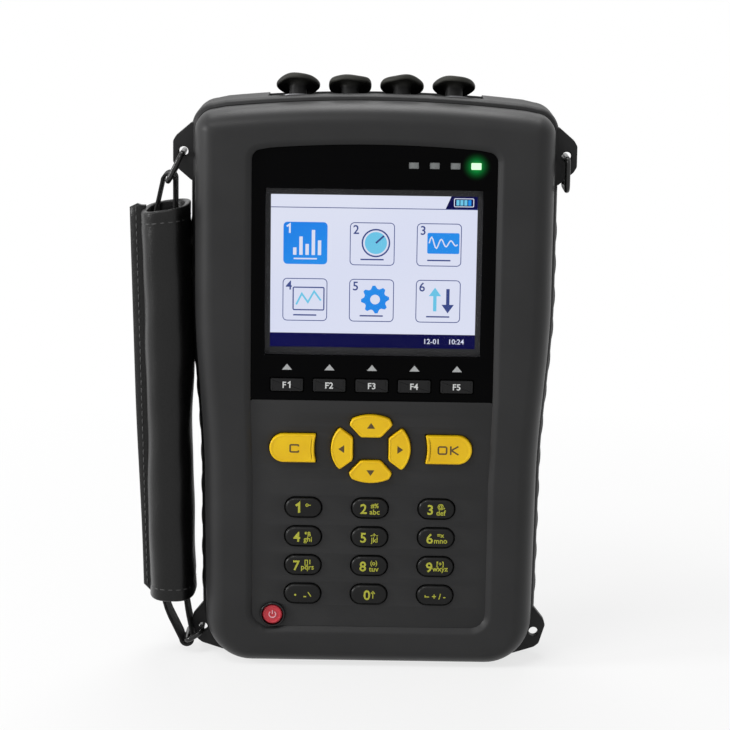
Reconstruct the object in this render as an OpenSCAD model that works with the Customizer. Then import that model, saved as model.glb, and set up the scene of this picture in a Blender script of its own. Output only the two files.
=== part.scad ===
// Handheld vibration meter: rugged two-part case, colour display behind a black lens,
// soft keys, four capped sensor sockets on top and a padded hand strap on the left side.
// Millimetres. Z up along the case, the display faces -Y, the origin is under the base.

/* [Case] */
// Width across the shoulders of the rear shell
case_w = 146.4; // [135:0.2:160]
// Width of the rear shell at the waist, where the hand holds it, as a share of the case width
waist_share = 0.94262; // [0.8607:0.0001:0.9836]
// Further narrowing from the waist to the base
base_taper = 1.6; // [0:0.1:4]
// Height from the base to the middle of the arched top
case_h = 230.2; // [224:0.2:250]
// Depth from the front face to the back
case_d = 58; // [54:0.5:70]
// How far the front shell sits inside the rear shell all round
front_set_in = 2.2; // [1:0.1:3]
// Start of the waist curve, as a share of the case height
waist_low_share = 0.33015; // [0.2606:0.0001:0.391]
// End of the waist curve, as a share of the case height
waist_high_share = 0.65161; // [0.5647:0.0001:0.7168]
// Corner radius at the top of the case
top_corner = 10; // [8:0.5:12]
// Corner radius at the base of the case
base_corner = 21; // [18:0.5:23]
// Fall of the arched top over its half width
arch_drop = 3.2; // [1:0.1:5]
// Depth of the front shell, from its front face to the joint between the shells
front_depth = 21; // [20:0.5:24]
// Wall of the front shell
front_wall = 2.6; // [2:0.1:3.5]
// Side wall of the rear shell, which holds the grip pockets
rear_wall = 5; // [4:0.1:6]
// Back wall of the rear shell
back_wall = 3; // [2.5:0.1:4]
// Thickness of the seal between the shells
gasket_t = 0.5; // [0.3:0.1:1]

/* [Front panel] */
// Width of the recess that holds lens and keypad
panel_w = 96.4; // [94:0.2:100]
// Depth of the recess below the front face
panel_depth = 1.8; // [1:0.1:2.2]
// Width of the bevel round the recess
bevel_w = 2; // [1:0.1:3]
// Lower edge of the recess, as a share of the case height
panel_low_share = 0.07298; // [0.0652:0.0001:0.0869]
// Top of the lens, as a share of the case height
lens_high_share = 0.92268; // [0.9166:0.0001:0.9296]
// Lower edge of the lens, as a share of the case height
lens_low_share = 0.47871; // [0.4757:0.0001:0.4822]
// Thickness of the display lens
lens_t = 1.5; // [1:0.1:1.5]
// Wall behind the lens
lens_back = 1.6; // [1.2:0.1:2]
// Width of the lit area of the display
screen_w = 81.4; // [70:0.2:84]
// Height of the lit area of the display, as a share of the case height
screen_h_share = 0.26499; // [0.2433:0.0001:0.2737]
// Middle of the display, as a share of the case height
screen_z_share = 0.702; // [0.695:0.0001:0.7081]
// Width of one status light window
light_w = 4; // [3:0.1:5]
// Height of one status light window
light_h = 2.7; // [2:0.1:3.5]
// Distance from one status light to the next
light_pitch = 8.15; // [7:0.05:8.2]
// Row of status lights, as a share of the case height
light_z_share = 0.88792; // [0.884:0.0001:0.8905]

/* [Keys] */
// How far each key travels when it is pressed
key_travel = 0.9; // [0.5:0.1:0.9]
// Clearance between a key and its hole
key_gap = 0.3; // [0.2:0.05:0.4]
// Width of a number key
num_w = 14.7; // [12:0.1:16]
// Height of a number key
num_h = 8.1; // [7:0.1:9]
// Distance between the number columns
num_pitch_x = 26.7; // [24:0.1:27]
// Distance between the number rows, as a share of the case height
num_pitch_share = 0.05182; // [0.05:0.0001:0.0521]
// Top number row, as a share of the case height
num_top_share = 0.28801; // [0.2867:0.0001:0.2911]
// How far the number keys stand out of the panel
num_proud = 1.6; // [1:0.1:2.5]
// Half width of the ring of four arrow keys
pad_rx = 15.9; // [15:0.1:17]
// Half height of the ring of four arrow keys, as a share of the case height
pad_height_share = 0.05995; // [0.0565:0.0001:0.063]
// Middle of the arrow keys, as a share of the case height
pad_middle_share = 0.39487; // [0.391:0.0001:0.3975]
// How far the yellow keys stand out of the panel
yellow_proud = 2.2; // [1:0.1:3]
// Width of the clear key and of the enter key
side_key_w = 18.8; // [16:0.1:19.5]
// Height of the clear key and of the enter key
side_key_h = 11.4; // [9:0.1:13]
// Distance from the middle of the case to the middle of the clear key
side_key_x = 31; // [30.5:0.1:31.5]
// Width of a function key
fn_w = 13; // [11:0.1:13.5]
// Height of a function key
fn_h = 5.2; // [4.5:0.1:5.5]
// Distance from one function key to the next
fn_pitch = 16.88; // [16:0.01:17]
// Row of function keys, as a share of the case height
fn_row_share = 0.50565; // [0.5039:0.0001:0.5083]
// How far the function keys stand out of the lens
fn_proud = 0.8; // [0.5:0.1:1.5]
// Diameter of the power button
power_d = 8; // [7:0.1:8.5]
// Outer diameter of the ring round the power button
power_ring_d = 10.2; // [10:0.1:11]
// Distance from the middle of the case to the power button
power_x = 38.8; // [38:0.1:39]
// Power button, as a share of the case height
power_share = 0.09427; // [0.0934:0.0001:0.0977]

/* [Sensor sockets] */
// Distance from one socket to the next
socket_pitch = 20.9; // [20:0.1:22]
// How far the sockets lean back
socket_lean = 20; // [10:1:22]
// Bore of a socket
socket_bore_d = 7.8; // [7:0.1:8.5]
// Outer diameter of a socket barrel
socket_d = 11; // [10:0.1:12]
// Diameter of a dust cap
cap_d = 17.4; // [15:0.1:18]
// Thickness of the rim of a dust cap
cap_t = 2.4; // [1.5:0.1:3]
// Diameter of the stem of a dust cap
cap_stem_d = 7.2; // [6:0.1:7.2]

/* [Strap hardware] */
// Thickness of a strap lug
lug_t = 4; // [3:0.1:5]
// Length of a strap lug along the case
lug_len = 23.2; // [20:0.1:25]
// How far an upper lug stands out of the case
lug_reach = 7.4; // [7:0.1:8.5]
// Bore of a strap lug
lug_bore_d = 3.8; // [3.4:0.1:4]
// Bores of the upper lugs, as a share of the case height
lug_top_share = 0.89748; // [0.8905:0.0001:0.9036]
// Diameter of the wire of a strap ring
ring_wire_d = 2.2; // [1.6:0.1:2.4]
// Width of a strap ring, from the middle of one side wire to the other
ring_w = 19; // [17.5:0.5:22]
// Length of an upper strap ring, from the middle of one bar to the other
ring_len = 12.3; // [12:0.1:14]
// Length of the lower strap ring, from the middle of one bar to the other
ring_len_low = 7; // [6.8:0.1:8]

/* [Hand strap] */
// Width of the strap webbing
webbing_w = 14; // [10:0.5:15]
// Thickness of the strap webbing
webbing_t = 1.2; // [0.8:0.1:1.4]
// Width of the padded sleeve across the case
sleeve_w = 17.6; // [16:0.1:18]
// Depth of the padded sleeve along the case depth
sleeve_d = 36; // [30:0.5:40]
// Lower end of the sleeve, as a share of the case height
sleeve_low_share = 0.10686; // [0.0956:0.0001:0.1303]
// Upper end of the sleeve, as a share of the case height
sleeve_high_share = 0.80191; // [0.7602:0.0001:0.808]
// Thickness of the padded wall of the sleeve
sleeve_wall = 2.4; // [1.5:0.1:3]
// Width of the stitched seam flange along the outer side of the sleeve
seam_w = 5; // [3:0.1:6]
// Thickness of the stitched seam flange
seam_t = 3; // [2:0.1:4]

/* [Grips] */
// Distance from one grip rib to the next, as a share of the case height
rib_pitch_share = 0.05778; // [0.0434:0.0001:0.0695]
// Height of the ribs of the side grips
rib_h = 0.9; // [0.3:0.1:1]
// Thickness of a side grip below its ribs
grip_t = 2; // [1:0.1:2.5]
// Width of a side grip along the case depth
grip_w = 18; // [12:0.5:20]
// Number of ribs on a side grip
rib_count = 12; // [8:1:12]

/* [Inside] */
// Width of the battery bay
bay_w = 70; // [60:0.5:74]
// Height of the battery bay, as a share of the case height
bay_height_share = 0.31277; // [0.2606:0.0001:0.3215]
// Lower edge of the battery bay, as a share of the case height
bay_low_share = 0.10426; // [0.0956:0.0001:0.1129]
// Depth of the battery pack
pack_d = 16; // [12:0.5:17]
// Thickness of the circuit boards
board_t = 1.6; // [1:0.1:2]
// Diameter of the case screws
screw_d = 4; // [3:0.1:4]
// Diameter of the heads of the case screws
screw_head_d = 7.6; // [6.5:0.1:7.8]

/* [Hidden] */

fine = 48;
overrun = 1;
bite = 0.6;
seat_gap = 0.3;

// Width and heights that follow the size of the case
waist_w = waist_share * case_w;
waist_low = waist_low_share * case_h;
waist_high = waist_high_share * case_h;
panel_low = panel_low_share * case_h;
lens_high = lens_high_share * case_h;
lens_low = lens_low_share * case_h;
screen_h = screen_h_share * case_h;
screen_z = screen_z_share * case_h;
light_z = light_z_share * case_h;
num_pitch_z = num_pitch_share * case_h;
num_top_z = num_top_share * case_h;
pad_rz = pad_height_share * case_h;
pad_z = pad_middle_share * case_h;
fn_z = fn_row_share * case_h;
power_z = power_share * case_h;
lug_top_z = lug_top_share * case_h;
sleeve_low = sleeve_low_share * case_h;
sleeve_high = sleeve_high_share * case_h;
rib_pitch = rib_pitch_share * case_h;
bay_h = bay_height_share * case_h;
bay_low = bay_low_share * case_h;

front_y = -case_d / 2;
back_y = case_d / 2;
joint_y = front_y + front_depth;
gasket_y = joint_y - gasket_t;

// Places through the depth of the front, from the recess floor inwards
floor_y = front_y + panel_depth;
lens_seat_y = floor_y + lens_t + 0.1 * lens_t;
lens_front_y = lens_seat_y - lens_t;
inner_y = lens_seat_y + lens_back;
flange_gap = 0.2;
flange_t = 1;
flange_lip = 0.8;
flange_y = inner_y + flange_gap;
collar_h = 1.6;
collar_y = flange_y + flange_t + key_travel + key_gap;
mat_y = collar_y + collar_h;
mat_t = 1.2;
key_board_y = mat_y + mat_t;
stem_d = 4;
stem_end_y = mat_y - key_travel - key_gap;

// Outline of the case
half_w = case_w / 2;
half_waist = waist_w / 2;
arch_half = 0.41 * case_w;
roll_w = 8.3;
roll_d = 12;
back_roll = 12;
lip_d = 4;
hidden_base = 1.8;
least_corner = 3;
corner_steps = 6;
side_steps = 13;
arch_steps = 4;
roll_steps = 4;

function smooth(t) = let (c = min(1, max(0, t))) c * c * (3 - 2 * c);
function half_at(z) =
  half_w - (half_w - half_waist) * smooth((waist_high - z) / (waist_high - waist_low))
  - base_taper / 2 * min(1, max(0, (waist_low - z) / waist_low));
function top_at(x) = case_h - arch_drop * pow(x / arch_half, 2);

// Right half of the outline from the base up to the top, inset at the sides and at the base
function right_half(side_in, base_in) =
  let (
    rb = max(least_corner, base_corner - side_in),
    rt = max(least_corner, top_corner - side_in),
    xb = half_at(base_corner) - side_in - rb,
    zb = base_in + rb,
    xt = half_w - side_in - rt,
    zt = top_at(xt + rt / 2) - side_in - rt,
    tilt = 6
  )
  concat(
    [for (i = [0 : corner_steps]) let (a = -90 + 90 * i / corner_steps)
      [xb + rb * cos(a), zb + rb * sin(a)]],
    [for (i = [1 : side_steps - 1]) let (z = zb + (zt - zb) * i / side_steps)
      [half_at(z) - side_in, z]],
    [for (i = [0 : corner_steps]) let (a = (90 - tilt) * i / corner_steps)
      [xt + rt * cos(a), zt + rt * sin(a)]],
    [for (i = [1 : arch_steps]) let (x = (xt + rt * sin(tilt)) * (1 - i / arch_steps))
      [x, top_at(x) - side_in]]
  );

function outline(side_in, base_in) =
  let (r = right_half(side_in, base_in), n = len(r))
  concat(r, [for (i = [n - 2 : -1 : 0]) [-r[i][0], r[i][1]]]);

function ring_at(y, side_in, base_in) = [for (p = outline(side_in, base_in)) [p[0], y, p[1]]];

// Closed skin through a list of rings with equal numbers of points, its ends closed by
// strips that run from side to side, so that a waisted ring closes flat too
module skin(rings) {
  n = len(rings[0]);
  m = len(rings);
  points = [for (r = rings) each r];
  walls = [for (j = [0 : m - 2], i = [0 : n - 1]) let (k = (i + 1) % n)
    each [[j * n + i, j * n + k, (j + 1) * n + i], [j * n + k, (j + 1) * n + k, (j + 1) * n + i]]];
  first = [for (i = [0 : ceil(n / 2) - 2])
    each concat([[i, n - 1 - i, i + 1]], i + 1 < n - 2 - i ? [[i + 1, n - 1 - i, n - 2 - i]] : [])];
  last = [for (f = first) [for (i = [2, 1, 0]) (m - 1) * n + f[i]]];
  polyhedron(points = points, faces = concat(first, walls, last), convexity = 6);
}

// Prism of a flat shape in X and Z, from one depth to another
module plate(y0, y1) {
  translate([0, y1, 0]) rotate([90, 0, 0]) linear_extrude(y1 - y0) children();
}

module pin(x, z, y0, y1, d) {
  translate([x, y1, z]) rotate([90, 0, 0]) cylinder(d = d, h = y1 - y0, $fn = fine);
}

module pill(w, h) {
  square([w - h, h], center = true);
  for (s = [-1, 1]) translate([s * (w - h) / 2, 0]) circle(d = h, $fn = fine);
}

module rounded(w, h, r) {
  square([w - 2 * r, h], center = true);
  square([w, h - 2 * r], center = true);
  for (sx = [-1, 1], sz = [-1, 1])
    translate([sx * (w / 2 - r), sz * (h / 2 - r)]) circle(r = r, $fn = fine);
}

// Recess of the front panel, which bulges round the power ring
panel_waist = 2.2;
panel_corner = 6;
lens_corner = 4;
lens_arch = 3.4;
lens_fit = 0.15;

function lens_top_at(x) = lens_high - lens_arch * pow(x / (panel_w / 2), 2);

function panel_outline(grow) =
  let (
    hw = panel_w / 2, low = hw - panel_waist / 2, r = panel_corner + grow,
    cx = low - panel_corner, cz = panel_low + panel_corner,
    tx = hw - lens_corner, tz = lens_top_at(hw) - lens_corner, tr = lens_corner + grow
  )
  let (right = concat(
    [for (a = [-90 : 18 : 0]) [cx + r * cos(a), cz + r * sin(a)]],
    [[low + grow, waist_low], [hw + grow, lens_low]],
    [for (a = [0 : 17 : 85]) [tx + tr * cos(a), tz + tr * sin(a)]],
    [for (i = [1 : 5]) let (x = tx * (1 - i / 5)) [x, lens_top_at(x) + grow]]
  ), n = len(right))
  concat(right, [for (i = [n - 2 : -1 : 0]) [-right[i][0], right[i][1]]]);

module panel_cut() {
  rim = panel_outline(bevel_w);
  bed = panel_outline(0);
  skin([
    [for (p = rim) [p[0], front_y - overrun, p[1]]],
    [for (p = rim) [p[0], front_y, p[1]]],
    [for (p = bed) [p[0], floor_y, p[1]]]
  ]);
  pin(-power_x, power_z, front_y - overrun, floor_y, power_ring_d + 2 * bevel_w);
}

module lens_shape(grow) {
  intersection() {
    polygon(panel_outline(grow));
    translate([-panel_w, lens_low - grow]) square([2 * panel_w, case_h]);
  }
}

// Key faces, drawn flat in X and Z; grow widens a face for its hole or its flange
end_hollow = 1;

// Corners of the arrow keys as shares of the half width and half height of their ring
up_inner_shares = [0.25, 0.35];
up_corner_shares = [0.545, 0.72];
side_inner_shares = [0.45, 0.33];
side_corner_shares = [0.775, 0.61];
up_arc = 62;
side_arc = 32;
function in_pad(shares, sx, sz, grow) =
  [sx * (shares[0] * pad_rx + grow), sz * (shares[1] * pad_rz + grow)];
function pad_arc(from, to, grow) =
  [for (i = [0 : 6]) let (a = from + (to - from) * i / 6)
    [(pad_rx + grow) * cos(a), (pad_rz + grow) * sin(a)]];

module up_face(grow) {
  polygon(concat(
    [[up_inner_shares[0] * pad_rx + grow / 2, up_inner_shares[1] * pad_rz - grow]],
    [in_pad(up_corner_shares, 1, 1, grow)], pad_arc(up_arc, 180 - up_arc, grow),
    [in_pad(up_corner_shares, -1, 1, grow)],
    [[-up_inner_shares[0] * pad_rx - grow / 2, up_inner_shares[1] * pad_rz - grow]]
  ));
}

module right_face(grow) {
  polygon(concat(
    [[side_inner_shares[0] * pad_rx - grow, -side_inner_shares[1] * pad_rz - grow / 2]],
    [in_pad(side_corner_shares, 1, -1, grow)], pad_arc(-side_arc, side_arc, grow),
    [in_pad(side_corner_shares, 1, 1, grow)],
    [[side_inner_shares[0] * pad_rx - grow, side_inner_shares[1] * pad_rz + grow / 2]]
  ));
}

module arrow_face(way, grow) {
  if (way == "up") up_face(grow);
  if (way == "down") mirror([0, 1]) up_face(grow);
  if (way == "right") right_face(grow);
  if (way == "left") mirror([1, 0]) right_face(grow);
}

// Clear key: one end round, the end towards the arrow keys hollow
module side_face(side, grow) {
  difference() {
    translate([side * side_key_x, 0]) pill(side_key_w + 2 * grow, side_key_h + 2 * grow);
    circle(r = side_key_x - side_key_w / 2 + end_hollow - grow, $fn = fine);
  }
  inner = side_key_x - side_key_w / 2 + side_key_h / 2;
  difference() {
    translate([side * inner, 0]) square(side_key_h + 2 * grow, center = true);
    circle(r = side_key_x - side_key_w / 2 + end_hollow - grow, $fn = fine);
  }
}

module number_face(grow) { pill(num_w + 2 * grow, num_h + 2 * grow); }
module fn_face(grow) { rounded(fn_w + 2 * grow, fn_h + 2 * grow, fn_h / 8 + grow); }

function number_x(i) = ((i % 3) - 1) * num_pitch_x;
function number_z(i) = num_top_z - floor(i / 3) * num_pitch_z;
function fn_x(i) = (i - 2) * fn_pitch;

// A key: its face stands proud, a flange holds it behind the wall, a stem meets the mat
module key_body(x, z, top_y, stem_x = 0, stem_z = 0) {
  translate([x, 0, z]) {
    plate(top_y, flange_y + flange_t) children(0);
    plate(flange_y, flange_y + flange_t) children(1);
  }
  pin(x + stem_x, z + stem_z, flange_y, stem_end_y, stem_d);
}

module number_key(i) {
  color([0.13, 0.13, 0.13])
    key_body(number_x(i), number_z(i), floor_y - num_proud) {
      number_face(0);
      number_face(flange_lip);
    }
}

module fn_key(i) {
  color([0.1, 0.1, 0.1])
    key_body(fn_x(i), fn_z, lens_front_y - fn_proud) {
      fn_face(0);
      fn_face(flange_lip);
    }
}

// Middle of an arrow key, where its stem stands
arrow_stem_share = 0.7;
function arrow_x(way) = (way == "left" ? -1 : way == "right" ? 1 : 0) * arrow_stem_share * pad_rx;
function arrow_z(way) = (way == "down" ? -1 : way == "up" ? 1 : 0) * arrow_stem_share * pad_rz;

module arrow_key(way) {
  color([0.92, 0.74, 0.1])
    key_body(0, pad_z, floor_y - yellow_proud, arrow_x(way), arrow_z(way)) {
      arrow_face(way, 0);
      arrow_face(way, flange_lip);
    }
}

module side_key(side) {
  color([0.92, 0.74, 0.1])
    key_body(0, pad_z, floor_y - yellow_proud, side * side_key_x) {
      side_face(side, 0);
      side_face(side, flange_lip);
    }
}

module power_key() {
  color([0.78, 0.16, 0.2])
    key_body(-power_x, power_z, power_top_y + bite) {
      circle(d = power_d, $fn = fine);
      circle(d = power_d + 2 * flange_lip, $fn = fine);
    }
}

// Stem places of every key, for the collars of the mat
stems = concat(
  [for (i = [0 : 11]) [number_x(i), number_z(i)]],
  [for (i = [0 : 4]) [fn_x(i), fn_z]],
  [for (w = ["up", "down", "left", "right"]) [arrow_x(w), pad_z + arrow_z(w)]],
  [for (s = [-1, 1]) [s * side_key_x, pad_z]],
  [[-power_x, power_z]]
);

// Holes for the keys, cut through the front wall
module key_holes() {
  plate(front_y - overrun, inner_y + overrun) {
    for (i = [0 : 11]) translate([number_x(i), number_z(i)]) number_face(key_gap);
    for (i = [0 : 4]) translate([fn_x(i), fn_z]) fn_face(key_gap);
    translate([0, pad_z]) {
      for (w = ["up", "down", "left", "right"]) arrow_face(w, key_gap);
      for (s = [-1, 1]) side_face(s, key_gap);
    }
  }
  pin(-power_x, power_z, front_y - overrun, inner_y + overrun, power_d + 2 * key_gap);
}

// Glossy ring that stands round the power button
power_ring_h = 1.5;
power_top_y = floor_y - power_ring_h;
module power_ring() {
  color([0.05, 0.05, 0.05]) difference() {
    pin(-power_x, power_z, power_top_y, floor_y, power_ring_d);
    pin(-power_x, power_z, power_top_y - overrun, floor_y + overrun, power_d + 2 * key_gap);
  }
}

// Case screws: places, and the bosses that they join
boss_d = 9;
pilot_gap = 0.1;
top_screw_in = 13;
top_screw_drop = 24;
mid_screw_in = 13.5;
low_screw_in = 17;
low_screw_rise = 6;
screw_places = [
  for (s = [-1, 1]) each [
    [s * (half_w - top_screw_in), case_h - top_screw_drop],
    [s * (half_waist - mid_screw_in), waist_low + top_screw_drop],
    [s * (half_waist - low_screw_in), base_corner + low_screw_rise]
  ]
];
screw_sink = 8;
screw_cover = 6;
screw_seat_y = back_y - screw_sink;
screw_tip_y = inner_y + screw_cover;
screw_head_t = 3;
post_d = 4;
post_x = panel_w / 2;
post_rise = 8;
post_zs = [(panel_low + waist_low) / 2, waist_low, lens_low + post_rise];
post_places = [for (s = [-1, 1], z = post_zs) [s * post_x, z]];

// Window behind the lens, as wide as the frame of the display that shows round the lit area
bezel_x = 2;
bezel_z = 2.7;
window_w = screw_free_w();
function screw_free_w() = screen_w + 2 * bezel_x;
window_h = screen_h + 2 * bezel_z;
function light_x(i) = screen_w / 2 - light_w / 4 - (3 - i) * light_pitch;

module front_shell() {
  color([0.21, 0.21, 0.21]) difference() {
    union() {
      difference() {
        skin(concat(
          [for (i = [roll_steps : -1 : 0]) let (a = 90 * i / roll_steps)
            ring_at(front_y + roll_d * (1 - sin(a)), front_set_in + roll_w * (1 - cos(a)),
              front_set_in - hidden_base + (roll_w - hidden_base) * (1 - cos(a)))],
          [ring_at(gasket_y, front_set_in, front_set_in - hidden_base)]
        ));
        skin([
          ring_at(inner_y, front_set_in + roll_w / 2 + front_wall, front_wall + roll_w / 2),
          ring_at(inner_y + roll_d / 4, front_set_in + front_wall + roll_w / 8, front_wall + roll_w / 8),
          ring_at(gasket_y + overrun, front_set_in + front_wall, front_set_in - hidden_base + front_wall)
        ]);
        panel_cut();
      }
      for (p = screw_places) pin(p[0], p[1], inner_y - bite, gasket_y, boss_d);
      for (p = post_places) pin(p[0], p[1], inner_y - bite, key_board_y, post_d);
    }
    plate(floor_y - overrun, lens_seat_y) lens_shape(lens_fit);
    plate(lens_seat_y - overrun, inner_y + overrun)
      translate([0, screen_z]) square([window_w, window_h], center = true);
    plate(lens_seat_y - overrun, inner_y + overrun)
      for (i = [0 : 3]) translate([light_x(i), light_z]) square([light_w, light_h], center = true);
    key_holes();
    for (p = screw_places)
      pin(p[0], p[1], screw_tip_y - overrun, gasket_y + overrun, screw_d + 2 * pilot_gap);
  }
}

module display_lens() {
  color([0.04, 0.04, 0.04]) difference() {
    plate(lens_front_y, lens_seat_y) lens_shape(0);
    plate(lens_front_y - overrun, lens_seat_y + overrun)
      for (i = [0 : 4]) translate([fn_x(i), fn_z]) fn_face(key_gap);
  }
}

lcd_side = 5;
lcd_t = 3;
frame_t = 0.8;
frame_d = 4.6;
module lcd_panel() {
  color([0.9, 0.92, 0.98]) plate(inner_y + frame_t, inner_y + frame_t + lcd_t)
    translate([0, screen_z]) square([screen_w + 2 * lcd_side, screen_h + 2 * lcd_side], center = true);
}

module lcd_frame() {
  w = screen_w + 2 * lcd_side + 2 * frame_t;
  h = screen_h + 2 * lcd_side + 2 * frame_t;
  color([0.5, 0.5, 0.52]) difference() {
    plate(inner_y, inner_y + frame_d) translate([0, screen_z]) square([w, h], center = true);
    plate(inner_y + frame_t, inner_y + frame_d + overrun) translate([0, screen_z])
      square([w - 2 * frame_t, h - 2 * frame_t], center = true);
    plate(inner_y - overrun, inner_y + frame_d) translate([0, screen_z])
      square([screen_w, screen_h], center = true);
  }
}

// Four light pipes, seated in the wall behind the lens
module status_lights() {
  color([0.8, 0.82, 0.8]) for (i = [0 : 3])
    plate(lens_seat_y, inner_y + lcd_t) translate([light_x(i), light_z])
      square([light_w, light_h], center = true);
}

// Rubber mat under the keys, with a collar round every stem
mat_margin = 5;
mat_w = 2 * power_x + 2 * mat_margin;
mat_low = power_z - mat_margin;
mat_high = fn_z + mat_margin;
board_margin = 2;
module keypad_mat() {
  color([0.3, 0.3, 0.3]) difference() {
    union() {
      plate(mat_y, key_board_y) translate([-mat_w / 2, mat_low]) square([mat_w, mat_high - mat_low]);
      for (s = stems) pin(s[0], s[1], collar_y, mat_y + bite, stem_d + 2 * key_gap + 2 * mat_t);
    }
    for (s = stems) pin(s[0], s[1], collar_y - overrun, mat_y, stem_d + 2 * key_gap);
  }
}

board_w = 2 * post_x + post_d + board_margin;
module keypad_board() {
  color([0.1, 0.35, 0.2]) difference() {
    plate(key_board_y, key_board_y + board_t)
      translate([-board_w / 2, mat_low]) square([board_w, mat_high - mat_low]);
    for (p = screw_places)
      pin(p[0], p[1], key_board_y - overrun, key_board_y + board_t + overrun, boss_d + 2 * seat_gap);
  }
}

// Seal that lies between the rims of the two shells
module shell_gasket() {
  color([0.06, 0.06, 0.06]) difference() {
    plate(gasket_y, joint_y) polygon(outline(front_set_in + front_wall / 4, front_set_in));
    plate(gasket_y - overrun, joint_y + overrun)
      polygon(outline(front_set_in + front_wall, front_set_in + front_wall));
  }
}

// Side grips: a soft ribbed strip in a pocket of the rear shell on each side
grip_low = base_corner + 2;
grip_y0 = joint_y + lip_d + bite;
grip_y1 = grip_y0 + grip_w;
rib_steps = 6;
rib_shares = [for (i = [0 : rib_steps]) sin(180 * i / rib_steps)];
grip_high = grip_low + rib_count * rib_pitch;
grip_sink = 0.45;
function grip_z(k) = grip_low + k * rib_pitch / rib_steps;
function grip_outer(side) = [for (k = [0 : rib_count * rib_steps])
  [side * (half_at(grip_z(k)) - grip_sink + rib_h * rib_shares[k % rib_steps]), grip_z(k)]];
function grip_inner(side, out) = [for (k = [rib_count * rib_steps : -rib_steps : 0])
  [side * (half_at(grip_z(k)) + out), grip_z(k)]];

module grip(side) {
  color([0.12, 0.12, 0.12])
    plate(grip_y0, grip_y1) polygon(concat(grip_outer(side), grip_inner(side, -grip_t)));
}

module grip_pocket(side) {
  path = grip_inner(side, -grip_t);
  n = len(path);
  wide = [for (i = [n - 1 : -1 : 0]) [path[i][0] + side * (grip_t + rib_h + overrun), path[i][1]]];
  plate(grip_y0, grip_y1) polygon(concat(path, wide));
}

// Upper lug: a plate with sloped ends, its bore nearer to the case than to its tip
lug_y0 = joint_y + overrun;
lug_y1 = lug_y0 + lug_t;
lug_mid_y = (lug_y0 + lug_y1) / 2;
lug_root = 5;
lug_bore_share = 0.43;
lug_slope_share = 0.84;
lug_flat_share = 0.36;
lug_shoulder_share = 0.54;
lug_top_x = half_w + lug_bore_share * lug_reach;
function lug_points(reach, length) = [
  [-lug_root, -length / 2], [0, -length / 2],
  [lug_slope_share * reach, -lug_shoulder_share * length / 2],
  [reach, -lug_flat_share * length / 2], [reach, lug_flat_share * length / 2],
  [lug_slope_share * reach, lug_shoulder_share * length / 2],
  [0, length / 2], [-lug_root, length / 2]
];
module lug_plate(reach, length) {
  plate(lug_y0, lug_y1) polygon(lug_points(reach, length));
}

// Lower lugs stand on the rounded corners of the base, turned down by this angle
lug_turn = 17;
lug_low_in = 0.7;
lug_low_x = half_waist - lug_low_in;
lug_low_z = 9.6;
lug_low_reach = 9.2;
lug_low_inset = 5.5;
module low_lug() {
  translate([lug_low_x, 0, lug_low_z]) rotate([0, lug_turn, 0]) translate([-lug_low_inset, 0, 0])
    lug_plate(lug_low_reach, lug_len);
}

module lugs() {
  for (s = [0, 1]) mirror([s, 0, 0]) {
    translate([half_w, 0, lug_top_z]) lug_plate(lug_reach, lug_len);
    low_lug();
  }
}

module lug_bores() {
  for (s = [-1, 1]) {
    pin(s * lug_top_x, lug_top_z, lug_y0 - overrun, lug_y1 + overrun, lug_bore_d);
    pin(s * lug_low_x, lug_low_z, lug_y0 - overrun, lug_y1 + overrun, lug_bore_d);
  }
}

// Trough for the sockets: its floor falls towards the back by the lean of the sockets
trough_in = 6;
trough_drop = 0.9;
trough_y = joint_y + trough_in;
trough_z = case_h - trough_drop;
trough_run = 22.6;
deck_t = 3.5;
trough_room = 3;
trough_half = 3 * socket_pitch / 2 + cap_d / 2 + trough_room;
socket_run = 10;
function socket_x(i) = (2 * i - 3) * socket_pitch / 2;
module at_deck() {
  translate([0, trough_y, trough_z]) rotate([-socket_lean, 0, 0]) children();
}
module at_socket(i) {
  at_deck() translate([socket_x(i), socket_run, 0]) children();
}

// Battery bay: a box behind the back wall with a ledge for its door
bay_mid_z = bay_low + bay_h / 2;
bay_wall = 3;
bay_d = 20;
bay_y0 = back_y - back_wall - bay_d;
door_t = 2.5;
door_lip = 3;
door_fit = 0.2;
door_screw_d = 3;
ear_out = 2;
door_screw_z = bay_h / 2 + door_lip + ear_out;
ear_w = 12;
ear_len = 13;
ear_y = back_y - ear_len;

module door_shape(grow) {
  rounded(bay_w + 2 * door_lip + 2 * grow, bay_h + 2 * door_lip + 2 * grow, door_lip + grow);
  for (s = [-1, 1]) translate([0, s * door_screw_z]) rounded(ear_w + 2 * grow, ear_w + 2 * grow, door_lip);
}

// Posts that carry the main board inside the rear shell
board_y = 2;
board_clear = 8;
board_drop = 26;
board_inset = 16;
board_low = bay_low + bay_h + board_clear;
board_high = case_h - board_drop;
main_w = 2 * (half_waist - board_inset);
main_post_in = 5;
main_posts = [for (s = [-1, 1], z = [board_low + main_post_in, board_high - main_post_in])
  [s * (main_w / 2 - main_post_in), z]];

module rear_skin() {
  difference() {
    skin(concat(
      [ring_at(joint_y, front_set_in - bite, 0),
        ring_at(joint_y + lip_d / 4, front_set_in / 2, 0),
        ring_at(joint_y + lip_d, 0, 0)],
      [for (i = [0 : roll_steps]) let (a = 90 * i / roll_steps)
        ring_at(back_y - back_roll * (1 - sin(a)), back_roll * (1 - cos(a)),
          (back_roll - hidden_base) * (1 - cos(a)))]
    ));
    skin([
      ring_at(joint_y - overrun, rear_wall, rear_wall),
      ring_at(back_y - back_roll, rear_wall, rear_wall),
      ring_at(back_y - back_wall - back_roll / 4, rear_wall + back_roll / 4, rear_wall + back_roll / 4),
      ring_at(back_y - back_wall, rear_wall + back_roll, rear_wall + back_roll)
    ]);
  }
}

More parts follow.
